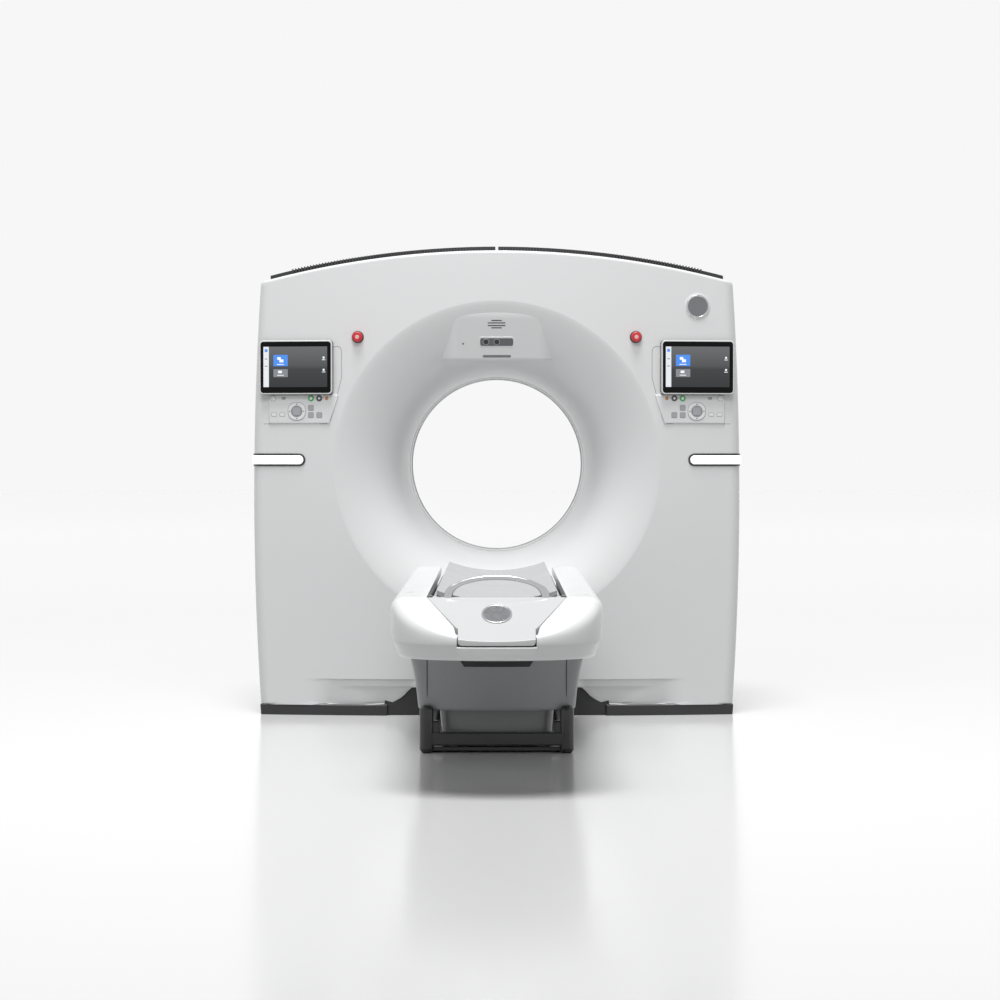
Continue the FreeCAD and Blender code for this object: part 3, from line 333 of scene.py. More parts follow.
def side_at(z):
    """The half-width of the covers at a height."""
    low, high = (FOOT_HALF, COVER_FOOT), (CORNER_HALF, CORNER_HEIGHT)
    middle = ((low[0] + high[0]) / 2, (low[1] + high[1]) / 2)
    chord = math.dist(low, high)
    back = math.sqrt(SIDE_RADIUS * SIDE_RADIUS - chord * chord / 4)
    tilt = (high[0] - low[0]) / chord
    centre = (middle[0] - back * math.sqrt(1 - tilt * tilt), middle[1] + back * tilt)
    return centre[0] + math.sqrt(SIDE_RADIUS * SIDE_RADIUS - (z - centre[1]) ** 2)


def top_at(x):
    """The height of the covers' top at a place across."""
    return COVER_TOP - CROWN + math.sqrt(CROWN * CROWN - x * x)


def foot_at(x, notched):
    """The height of the covers' foot at a place across, with or without the notch."""
    if not notched:
        return COVER_FOOT
    return float(np.interp(abs(x), [p[0] for p in NOTCH], [p[1] for p in NOTCH]))


def rounded(inset, radius):
    """How far back a rounded edge falls at a distance in from the edge."""
    if inset >= radius:
        return 0.0
    return radius - math.sqrt(max(radius * radius - (radius - max(inset, 0.0)) ** 2, 0.0))


def smooth_step(value, low, high):
    """0 below one value and 1 past the other, with an even curve between."""
    share = min(max((value - low) / (high - low), 0.0), 1.0)
    return share * share * (3 - 2 * share)


def outline(inset, notched):
    """The cover's outline seen from the front, at a share of its edge roundings."""
    side_in, top_in, foot_in = SIDE_ROUND * inset, TOP_ROUND * inset, FOOT_ROUND * inset
    near = [1 - 0.055 * share ** 1.6 for share in np.linspace(0, 1, 9)]
    across = sorted(set(near + list(np.linspace(0.945, 0, 20))), reverse=True)
    across = across + [-share for share in reversed(across[:-1])]
    rise = sorted(set([0.0, 0.004, 0.012, 0.03] + list(np.linspace(0.06, 0.97, 30))
                      + [0.982, 0.99, 0.995]))
    heights = [COVER_FOOT + foot_in + share * (CORNER_HEIGHT - top_in - COVER_FOOT - foot_in)
               for share in rise]
    points = [(side_at(z) - side_in, z) for z in heights]
    points += [(share * (CORNER_HALF - side_in), top_at(share * CORNER_HALF) - top_in)
               for share in across]
    points += [(-side_at(z) + side_in, z) for z in reversed(heights)]
    notch = [x / FOOT_HALF for x, _ in NOTCH]
    steps = list(np.linspace(-1, -0.52, 12)) + [-share for share in reversed(notch)][1:-1]
    steps += list(np.linspace(-notch[0], notch[0], 19)) + notch[1:-1]
    steps += list(np.linspace(0.52, 1, 12))
    points += [(share * (FOOT_HALF - side_in), foot_at(share * FOOT_HALF, notched) + foot_in)
               for share in steps[1:-1]]
    return points


def toe_depth(x, z):
    """The toe recess pressed into the foot of the front cover on each side of the notch."""
    x = abs(x)
    upper = smooth_step(x, 0.75, 0.70) * smooth_step(x, 0.345, 0.36)
    fall = upper * ((z < LEDGE - 0.0005) * 0.003 + 0.16 * max(LEDGE - z, 0.0))
    edge = 0.628 - (TOE - z) * 1.75
    lower = smooth_step(x, edge + 0.02, edge) * (z < TOE - 0.0005)
    return fall + lower * (0.002 + 0.08 * max(TOE - z, 0.0))


def between(first, second, share):
    """A row of points part of the way from one row to another."""
    return [(a[0] + (b[0] - a[0]) * share, a[1] + (b[1] - a[1]) * share)
            for a, b in zip(first, second)]


def quads(rows, size, around=True, along=False):
    """The faces between neighbouring rows of points, closed round each row or along them."""
    last_row, last = rows if along else rows - 1, size if around else size - 1
    return [(r * size + c, r * size + (c + 1) % size, (r + 1) % rows * size + (c + 1) % size,
             (r + 1) % rows * size + c) for r in range(last_row) for c in range(last)]


def face_out(mesh, merge=None):
    """Turn a mesh's faces outwards, after its doubles are merged where that is asked for."""
    work = bmesh.new()
    work.from_mesh(mesh)
    if merge:
        bmesh.ops.remove_doubles(work, verts=work.verts, dist=merge)
    bmesh.ops.recalc_face_normals(work, faces=work.faces)
    work.to_mesh(mesh)
    work.free()


def flare_point(angle, share):
    """A point on the flare: the angle round the bore, and the share from throat to mouth."""
    reach, depth = MOUTH - BORE, THROAT - HALF_LENGTH - front_at(MOUTH * math.cos(angle))
    arc = (reach ** 2 + depth ** 2) / (2 * reach)
    turn = math.asin(min(depth / arc, 1.0)) * share
    radius = BORE + arc * (1 - math.cos(turn))
    return (radius * math.cos(angle), -THROAT_FRONT - arc * math.sin(turn),
            ISO + radius * math.sin(angle))


def end_cover(name, way, notched):
    """The mesh of one end cover. way is -1 at the front and 1 at the rear."""
    frame_ring = outline(1.0, notched)
    angles = [math.atan2(z - ISO, x) for x, z in frame_ring]
    rows = [[flare_point(angle, share) for angle in angles] for share in np.linspace(0, 1, 30)]
    mouth = [(MOUTH * math.cos(a), ISO + MOUTH * math.sin(a)) for a in angles]
    ledge_ring, toe_ring = [], []
    for x, z in frame_ring:
        pull = smooth_step(-(z - ISO), 0.55, 0.9) if notched else 0.0
        for ring, plain_x, pulled_x, plain_z, pulled_z in (
                (ledge_ring, 1 - 0.05, 0.985, 0.06, LEDGE),
                (toe_ring, 0.975, 0.99, 0.03, max(TOE, z + 0.002))):
            ring.append((x + (x * plain_x - x) * (1 - pull) + (x * pulled_x - x) * pull,
                         z + (ISO - z) * plain_z * (1 - pull) + (pulled_z - z) * pull))

    def face_row(flat):
        """A row of points laid on the bowed face, with its roundings and toe recess."""
        row = []
        for x, z in flat:
            y = front_at(x)
            y += rounded(side_at(z) - abs(x), SIDE_ROUND)
            y += rounded(top_at(min(abs(x), CORNER_HALF)) - z, TOP_ROUND)
            if notched:
                y += toe_depth(x, z)
            row.append((x, y, z))
        return row

    for first, second, shares in (
            (mouth, ledge_ring, (0.004, 0.012, 0.03, 0.06, *np.linspace(0.1, 0.97, 18), 0.99,
                                 0.9985)),
            (ledge_ring, toe_ring, (0.0, 0.07, 0.5, 0.93, 1.0)),
            (toe_ring, frame_ring, (0.07, 0.3, 0.6, 0.85, 1.0))):
        rows += [face_row(between(first, second, share)) for share in shares]
    for turn in np.linspace(0, 90, 10)[1:]:
        rows.append(face_row(outline(1 - math.sin(math.radians(turn)), notched)))
    edge = rows[-1]
    for share in (0.02, 0.25, 0.5, 0.75, 1.0):
        rows.append([(x, y + (-SEAM - y) * share, z) for x, y, z in edge])
    lip = rows[-1]
    for back in (0.0, COVER_RETURN):
        rows.append([(x * RETURN_INSET, y - back, ISO + (z - ISO) * RETURN_INSET)
                     for x, y, z in lip])

    faces = quads(len(rows), len(frame_ring))
    mesh = bpy.data.meshes.new(name)
    mesh.from_pydata([(x, y * -way, z) for row in rows for x, y, z in row], [],
                     faces if way > 0 else [tuple(reversed(quad)) for quad in faces])
    return mesh


for node, way, notched in (("front_cover", -1, True), ("rear_cover", 1, False)):
    cover = mesh_object(node + "_skin", end_cover(node, way, notched), cover_white)
    trim(soften(cover, 38.0), "gantry", "gantry_cover", node)


def swept(name, path, profile, finish, ends=True):
    """A bar of one closed section along a path of (point, across, up) frames."""
    points = [[origin[i] + across[i] * u + up[i] * v for i in range(3)]
              for origin, across, up in path for u, v in profile]
    size = len(profile)
    faces = quads(len(path), size)
    if ends:
        faces.append(tuple(reversed(range(size))))
        faces.append(tuple(range((len(path) - 1) * size, len(path) * size)))
    mesh = bpy.data.meshes.new(name)
    mesh.from_pydata(points, [], faces)
    face_out(mesh)
    return mesh_object(name, mesh, finish)


def rounded_section(left, right, low, high, radius, steps=4):
    """A rectangle with rounded corners, anticlockwise."""
    points = []
    for cx, cy, start in ((right - radius, high - radius, 0), (left + radius, high - radius, 90),
                          (left + radius, low + radius, 180), (right - radius, low + radius, 270)):
        for step in range(steps + 1):
            turn = math.radians(start + 90 * step / steps)
            points.append((cx + radius * math.cos(turn), cy + radius * math.sin(turn)))
    return points


# The side and top covers close the gap between the two ends, with a fine seam at each joint.
COVER_WALL, COVER_SPLIT, PANEL_REACH = 0.006, 1.79, 0.2892
panel_section = rounded_section(-PANEL_REACH, PANEL_REACH, -COVER_WALL, 0.0, 0.0016)
for node, sign in (("side_cover_left", -1), ("side_cover_right", 1)):
    path = [((sign * side_at(z), 0.0, z), (0, 1, 0), (sign, 0, 0))
            for z in np.linspace(COVER_FOOT, COVER_SPLIT, 40)]
    panel = ease(swept(node + "_skin", path, panel_section, cover_white), 0.0)
    trim(panel, "gantry", "gantry_cover", node)

crown_path = [((CORNER_HALF + 0.0016, 0.0, COVER_SPLIT + 0.0008), (0, 1, 0), (1, 0, 0)),
              ((CORNER_HALF, 0.0, 1.809), (0, 1, 0), (1, 0, 0)),
              ((0.9905, 0.0, 1.8135), (0, 1, 0), (0.75, 0, 0.75))]
for x in np.linspace(0.984, -0.984, 44):
    crown_path.append(((x, 0.0, top_at(x)), (0, 1, 0), (x / CROWN, 0, 1)))
crown_path += [((-x, y, z), across, (-up[0], 0, up[2]))
               for (x, y, z), across, up in reversed(crown_path[:3])]
crown = ease(swept("top_cover_skin", crown_path, panel_section, cover_white), 0.0)
trim(crown, "gantry", "gantry_cover", "top_cover")
paint(cover_white, "gantry_cover", "cover_screws")

# ---------------------------------------------------------------------------------------------
# Brow
# The leaning fascia at the top of the front flare, moulded with it, with a soft shelf under it.
# It holds the intercom's slots, the positioning camera's window and the laser's slot.
# ---------------------------------------------------------------------------------------------
BROW_LOW, BROW_HIGH, BROW_REACH = 1.4875, 1.703, 0.3
BROW_FRONT, BROW_LEAN = -0.4945, 0.058 / 0.21
SHELF_ROUND = 0.014


def brow_face(z):
    """How far forward the brow's face lies at a height."""
    return BROW_FRONT + (1.70 - z) * BROW_LEAN


brow_rows = []
for u in np.linspace(-BROW_REACH, BROW_REACH, 61):
    fade = 0.075 * smooth_step(abs(u), 0.17, BROW_REACH)
    row = [(u, brow_face(z) + fade + 0.012 * max(0.0, (z - 1.66) / 0.043) ** 2, z)
           for z in np.linspace(BROW_HIGH, BROW_LOW + SHELF_ROUND, 24)]
    for turn in (22, 45, 68, 90):
        angle = math.radians(turn)
        row.append((u, brow_face(BROW_LOW + SHELF_ROUND) + fade
                    + SHELF_ROUND * (1 - math.cos(angle)),
                    BROW_LOW + SHELF_ROUND - SHELF_ROUND * math.sin(angle)))
    row += [(u, brow_face(BROW_LOW) + fade + deep, BROW_LOW + 0.004 * (deep / 0.05))
            for deep in (0.03, 0.06)]
    brow_rows.append(row)
brow_mesh = bpy.data.meshes.new("brow")
brow_mesh.from_pydata([point for row in brow_rows for point in row], [],
                      quads(len(brow_rows), len(brow_rows[0]), around=False))
trim(soften(mesh_object("brow", brow_mesh, cover_white), 50.0), "gantry", "gantry_cover")


def plate(name, points, back, front, rounding, stand, finish, steps=3):
    """A flat piece from an anticlockwise outline, with its front edge rounded.

    stand turns (across, up, outward) into a place in space.
    """
    def inward(distance):
        """The outline moved in by a distance."""
        moved = []
        count = len(points)
        for i in range(count):
            before, here, after = points[i - 1], points[i], points[(i + 1) % count]
            ax, ay = here[0] - before[0], here[1] - before[1]
            bx, by = after[0] - here[0], after[1] - here[1]
            la, lb = math.hypot(ax, ay), math.hypot(bx, by)
            nx, ny = -(ay / la + by / lb), ax / la + bx / lb
            size = math.hypot(nx, ny)
            scale = distance / max(size / 2, 0.35) / size
            moved.append((here[0] + nx * scale, here[1] + ny * scale))
        return moved

    rings = [[(u, v, back) for u, v in points]]
    for step in range(steps + 1):
        turn = math.radians(90 * step / steps)
        rings.append([(u, v, front - rounding * (1 - math.sin(turn)))
                      for u, v in inward(rounding * (1 - math.cos(turn)))])
    count = len(points)
    mesh = bpy.data.meshes.new(name)
    vertices = [stand(*point) for ring in rings for point in ring]
    faces = quads(len(rings), count)
    faces.append(tuple((len(rings) - 1) * count + c for c in range(count)))
    faces.append(tuple(reversed(range(count))))
    mesh.from_pydata(vertices, [], faces)
    return ease(mesh_object(name, mesh, finish), 0.0)


def ring_outline(u, v, radius, count=40):
    """A circle's outline, anticlockwise."""
    turns = [math.tau * i / count for i in range(count)]
    return [(u + radius * math.cos(turn), v + radius * math.sin(turn)) for turn in turns]


def box_outline(u, v, width, height, radius, steps=5):
    """A rounded rectangle's outline about its middle, anticlockwise."""
    return rounded_section(u - width / 2, u + width / 2, v - height / 2, v + height / 2, radius,
                           steps)


def on_brow(u, v, out):
    """A place on the brow: across, the height, and out from its face."""
    lean = math.atan(BROW_LEAN)
    return (u, brow_face(v) - out * math.cos(lean), v - out * math.sin(lean))


slot_dark = Finish("slot_dark", (0.05, 0.052, 0.056), 0.6)
pane_smoked = Finish("smoked_pane", (0.13, 0.135, 0.145), 0.12, Coat_Weight=0.6)
lens_glass = Finish("lens_glass", (0.004, 0.004, 0.006), 0.05, Coat_Weight=1.0)
rim_light = Finish("rim_light", (0.78, 0.785, 0.79), 0.25, 0.3)
WINDOW_Z, LENS_Z = 1.5625, 1.5635
collar_grey = Finish("collar_grey", (0.3, 0.31, 0.33), 0.3, 0.4)
laser_pane = Finish("laser_pane", (0.2, 0.205, 0.215), 0.2, Coat_Weight=0.5)
for index, (z, half) in enumerate(((1.6508, 0.022), (1.6408, 0.037), (1.6300, 0.037),
                                   (1.6208, 0.022))):
    trim(plate("intercom_slot_%d" % index, box_outline(-0.001, z, half * 2, 0.0042, 0.0018),
               -0.004, 0.0006, 0.0003, on_brow, slot_dark), "gantry", "vent_black")
trim(plate("window_rim", box_outline(-0.0005, WINDOW_Z, 0.150, 0.0435, 0.0125), -0.006, 0.0016,
           0.0012, on_brow, rim_light), "gantry", "gantry_cover")
trim(plate("camera_window", box_outline(-0.0005, WINDOW_Z, 0.138, 0.0325, 0.008), -0.006, 0.0025,
           0.0008, on_brow, pane_smoked), "gantry", "smoked_pane", "sensor_window")
for u in (-0.045, 0.0):
    for name, radius, front, rounding, finish in (("lens", 0.0105, 0.0036, 0.001, lens_glass),
                                                  ("collar", 0.0135, 0.003, 0.0005, collar_grey)):
        trim(plate("camera_%s_%d" % (name, u < 0), ring_outline(u, LENS_Z, radius), 0.0, front,
                   rounding, on_brow, finish), "gantry", "smoked_pane")
trim(plate("laser_slot", box_outline(0.0, 1.5035, 0.119, 0.0105, 0.005), -0.006, 0.0008, 0.0005,
           on_brow, laser_pane), "gantry", "smoked_pane")
trim(plate("microphone", ring_outline(-0.1408, 1.5551, 0.0036, 16), -0.003, 0.0005, 0.0002,
           on_brow, slot_dark), "gantry", "vent_black")

# ---------------------------------------------------------------------------------------------
# Top vents
# A black moulded grille lies in each half of the crown and lets the gantry's warm air out. It
# clips into the top cover, and fine ribs stand across its front edge.
# ---------------------------------------------------------------------------------------------
vent_black = Finish("vent_black", (0.018, 0.018, 0.02), 0.5)
vent_black.mottle(20.0, 0.42, 0.6)
slat_grey = Finish("slat_grey", (0.05, 0.05, 0.054), 0.42)
slat_grey.mottle(25.0, 0.36, 0.5)
SLAT_FIRST, SLAT_LAST, SLAT_PITCH = 0.016, 0.86, 0.0125
SLAT_MIDDLE, SLAT_DROP, SLAT_SIZE = -0.3757, 0.0085, (0.0045, 0.1312, 0.0160)
ABOVE_COVERS = 3.0

slat_tree = bpy.data.node_groups.new("slats", "GeometryNodeTree")
sockets = {label: slat_tree.interface.new_socket(name=label, in_out="INPUT",
                                                 socket_type="NodeSocket" + kind)
           for label, kind in (("Places", "Geometry"), ("Slat Size", "Vector"),
                               ("Lean Per Metre", "Float"), ("Finish", "Material"))}
slat_tree.interface.new_socket(name="Slats", in_out="OUTPUT", socket_type="NodeSocketGeometry")
parts = {label: slat_tree.nodes.new(kind) for label, kind in (
    ("entry", "NodeGroupInput"), ("slat", "GeometryNodeMeshCube"),
    ("spread", "GeometryNodeInstanceOnPoints"), ("place", "GeometryNodeInputPosition"),
    ("split", "ShaderNodeSeparateXYZ"), ("lean", "ShaderNodeMath"),
    ("angles", "ShaderNodeCombineXYZ"), ("turn", "FunctionNodeEulerToRotation"),
    ("real", "GeometryNodeRealizeInstances"), ("coat", "GeometryNodeSetMaterial"),
    ("leave", "NodeGroupOutput"))}
parts["lean"].operation = "MULTIPLY"
for source, output, target, field in (
        ("entry", "Places", "spread", "Points"), ("entry", "Slat Size", "slat", "Size"),
        ("slat", "Mesh", "spread", "Instance"), ("place", "Position", "split", "Vector"),
        ("split", "X", "lean", 0), ("entry", "Lean Per Metre", "lean", 1),
        ("lean", "Value", "angles", "Y"), ("angles", "Vector", "turn", "Euler"),
        ("turn", "Rotation", "spread", "Rotation"), ("spread", "Instances", "real", "Geometry"),
        ("real", "Geometry", "coat", "Geometry"), ("entry", "Finish", "coat", "Material"),
        ("coat", "Geometry", "leave", "Slats")):
    slat_tree.links.new(parts[source].outputs[output], parts[target].inputs[field])

slat_places = []
for side, sign in (("left", -1), ("right", 1)):
    vent = dress("top_vent_" + side, vent_black, "vent_black", "gantry", 0.0015)
    bpy.context.view_layer.update()
    for x in np.arange(SLAT_FIRST, SLAT_LAST, SLAT_PITCH):
        struck, spot, *_ = vent.ray_cast((sign * x, -0.37, ABOVE_COVERS), (0, 0, -1))
        if struck:
            slat_places.append((spot.x, SLAT_MIDDLE, spot.z - SLAT_DROP))
slat_points = bpy.data.meshes.new("vent_slats")
slat_points.from_pydata(slat_places, [], [])
slats = linked("vent_slats", slat_points)
repeat = slats.modifiers.new("slats", "NODES")
repeat.node_group = slat_tree
repeat[sockets["Slat Size"].identifier] = SLAT_SIZE
repeat[sockets["Lean Per Metre"].identifier] = 1 / CROWN
repeat[sockets["Finish"].identifier] = slat_grey.material
slat_mesh = bpy.data.meshes.new_from_object(
    slats.evaluated_get(bpy.context.evaluated_depsgraph_get()))
slats.modifiers.remove(repeat)
slats.data = slat_mesh
trim(slats, "gantry", "vent_black")

# ---------------------------------------------------------------------------------------------
# Scan window
# A clear thin ring that closes the gap between the two flares, which the beam passes through.
# A white seal runs round each edge of it at the flare's throat.
# ---------------------------------------------------------------------------------------------
window_ring = Finish("clear_ring", (0.7, 0.71, 0.72), 0.2, Coat_Weight=0.5)
seal_white = Finish("seal_white", (0.85, 0.855, 0.86), 0.3)


def turned_ring(name, profile, finish, count=160):
    """A ring about the bore's own axis from an outline of (radius, place along)."""
    path = [((0.0, 0.0, ISO), (math.cos(angle), 0, math.sin(angle)), (0, 1, 0))
            for angle in (math.tau * i / count for i in range(count + 1))]
    item = swept(name, path, profile, finish, ends=False)
    face_out(item.data, merge=1e-6)
    return ease(item, 0.0)


trim(turned_ring("scan_window_skin", rounded_section(0.375, 0.378, -0.1195, 0.1195, 0.0006, 2),
                 window_ring), "gantry", "clear_ring", "scan_window")
for way in (-1, 1):
    trim(turned_ring("throat_seal_%d" % (way > 0),
                     rounded_section(0.3715, 0.3768, way * 0.1235 - 0.0035, way * 0.1235 + 0.0035,
                                     0.0012, 3), seal_white), "gantry", "clear_ring")

# ---------------------------------------------------------------------------------------------
# Emergency stops
# A red mushroom button on each side of the bore, pressed in against a spring. Its dark collar
# is screwed to the front cover. A pale pink disc on its top is a painted highlight.
# ---------------------------------------------------------------------------------------------


def on_front(x):
    """Stand a piece square to the bowed front face at a place across."""
    turn = math.asin(x / BOW)
    base = front_at(x)

    def stand(u, v, out):
        """A place from (across, up, outward)."""
        return (x + u * math.cos(turn) + out * math.sin(turn),
                base + u * math.sin(turn) - out * math.cos(turn), v)
    return stand


stop_red = Finish("stop_red", (0.62, 0.012, 0.02), 0.28, Coat_Weight=0.4)
collar_dark = Finish("collar_dark", (0.06, 0.06, 0.065), 0.4)
# Painted highlight: a pale pink disc on each red button's top stands in for the sheen on its dome.
mark_pale = Finish("mark_pale", (0.85, 0.5, 0.5), 0.35)
ESTOP_X, ESTOP_Z = 0.58, 1.582
for side, sign in (("left", -1), ("right", 1)):
    stand = on_front(sign * ESTOP_X)
    body = "estop_" + side
    for name, radius, count, back, front, rounding, steps, finish, seat, slot, replaced in (
            ("stop_collar_" + side, 0.0255, 48, -0.003, 0.0045, 0.002, 3, collar_dark, "gantry",
             "key_dark", ()),
            (body + "_skin", 0.0215, 48, 0.007, 0.0225, 0.006, 5, stop_red, body, "stop_red",
             (body,)),
            ("stop_stem_" + side, 0.008, 24, -0.004, 0.0075, 0.0005, 3, collar_dark, body,
             "key_dark", ()),
            ("stop_mark_" + side, 0.0085, 32, 0.02, 0.0229, 0.0004, 3, mark_pale, body,
             "stop_red", ())):
        trim(plate(name, ring_outline(0, ESTOP_Z, radius, count), back, front, rounding, stand,
                   finish, steps), seat, slot, *replaced)

# ---------------------------------------------------------------------------------------------
# Control panels
# A tablet under black glass on each side of the bore, in a white case screwed to the cover.
# Under it lies a membrane keypad with a round dial and flush keys, inside a fine groove.
# ---------------------------------------------------------------------------------------------
PANEL_X, TABLET_X, TABLET_Z = 0.823, 0.837, 1.456
DIAL_X, DIAL_Z, KEY_Z = 0.836, 1.2725, 1.327
tablet_white = Finish("tablet_white", (0.72, 0.725, 0.73), 0.3, Coat_Weight=0.3)
tablet_case = Finish("tablet_case", (0.03, 0.031, 0.034), 0.4)
glass_black = Finish("glass_black", (0.002, 0.002, 0.002), 0.2, Specular_IOR_Level=0.12)
screen_grey = Finish("screen_grey", (0.02, 0.021, 0.023), 0.3, Specular_IOR_Level=0.2,
                     Emission_Strength=0.3)
height = screen_grey.node("ShaderNodeSeparateXYZ", None, screen_grey.place(), output="Z")
screen_grey.feed("Emission Color", screen_grey.node(
    "ShaderNodeValToRGB", {"stops": [(0.0, (0.07, 0.072, 0.078)), (0.45, (0.12, 0.123, 0.13)),
                                     (0.55, (0.24, 0.245, 0.255)), (1.0, (0.42, 0.43, 0.44))]},
    (height - (TABLET_Z - 0.084)) * 6.0, output="Color"))


def lit(name, colour):
    """A finish that glows on the screen in a colour."""
    return Finish(name, tuple(part * 0.3 for part in colour), 0.3,
                  Emission_Color=(*colour, 1.0), Emission_Strength=0.9)


tile_blue = lit("tile_blue", (0.06, 0.24, 0.75))
tile_grey = lit("tile_grey", (0.2, 0.21, 0.23))
mark_white = lit("mark_white", (0.85, 0.87, 0.9))
column_white = lit("column_white", (0.7, 0.72, 0.76))
SCREEN_TILES = (
    ("column", -0.1250, 0.0019, 0.0230, 0.1680, column_white),
    ("scan_tile", -0.0635, 0.0285, 0.0610, 0.0470, tile_blue),
    ("scan_mark_a", -0.0700, 0.0370, 0.0150, 0.0110, mark_white),
    ("scan_mark_b", -0.0600, 0.0270, 0.0170, 0.0120, mark_white),
    ("scan_line", -0.0640, 0.0120, 0.0300, 0.0030, mark_white),
    ("list_tile", -0.0635, -0.0240, 0.0610, 0.0330, tile_grey),
    ("list_mark", -0.0660, -0.0190, 0.0160, 0.0100, mark_white),
    ("list_line", -0.0640, -0.0330, 0.0280, 0.0028, mark_white),
    ("icon_up", 0.1190, 0.0400, 0.0080, 0.0080, mark_white),
    ("icon_up_line", 0.1190, 0.0310, 0.0150, 0.0026, mark_white),
    ("icon_down", 0.1190, -0.0110, 0.0080, 0.0080, mark_white),
    ("icon_down_line", 0.1190, -0.0200, 0.0150, 0.0026, mark_white),
    ("column_mark_a", -0.1250, 0.0700, 0.0120, 0.0120, tile_blue),
    ("column_mark_b", -0.1250, 0.0350, 0.0110, 0.0040, tile_grey),
    ("column_mark_c", -0.1250, 0.0050, 0.0110, 0.0040, tile_grey),
)
key_pad = Finish("keypad_grey", (0.8, 0.805, 0.81), 0.34, Coat_Weight=0.15)
key_pad.grain(700.0, 0.00004)
key_pale = Finish("key_pale", (0.86, 0.865, 0.87), 0.32)
key_grey = Finish("key_grey", (0.42, 0.43, 0.45), 0.34)
key_edge = Finish("key_edge", (0.3, 0.305, 0.315), 0.4)
key_green = Finish("key_green", (0.03, 0.42, 0.08), 0.3, Coat_Weight=0.3)
key_dark = Finish("key_dark", (0.05, 0.05, 0.055), 0.35, Coat_Weight=0.3)
groove_grey = Finish("groove_grey", (0.36, 0.365, 0.375), 0.5)
key_orange = Finish("key_orange", (0.8, 0.25, 0.03), 0.35)
FLUSH_KEYS = (
    ("home", 0.9367, KEY_Z, 0.021, 0.021, 0.0100, key_pale),
    ("light", 0.892, KEY_Z, 0.014, 0.008, 0.003, key_grey),
    ("alarm", 0.7088, KEY_Z, 0.0095, 0.0120, 0.003, key_orange),
    ("table_in", 0.776, 1.2870, 0.0215, 0.0215, 0.005, key_grey),
    ("table_out", 0.776, 1.2567, 0.0215, 0.0215, 0.005, key_grey),
    ("table_up", 0.7404, 1.2567, 0.0215, 0.0215, 0.005, key_grey),
    ("memory_a", 0.9325, 1.2596, 0.0210, 0.0150, 0.005, key_pale),
    ("memory_b", 0.898, 1.2596, 0.0210, 0.0150, 0.005, key_pale),
)
GROOVE = ((0.684, 1.5416), (0.6640, 1.5442), (0.6535, 1.5385), (0.6482, 1.5240), (0.6485, 1.4121),
          (0.6930, 1.2390), (0.6990, 1.2270), (0.7120, 1.2205), (0.9783, 1.2205))

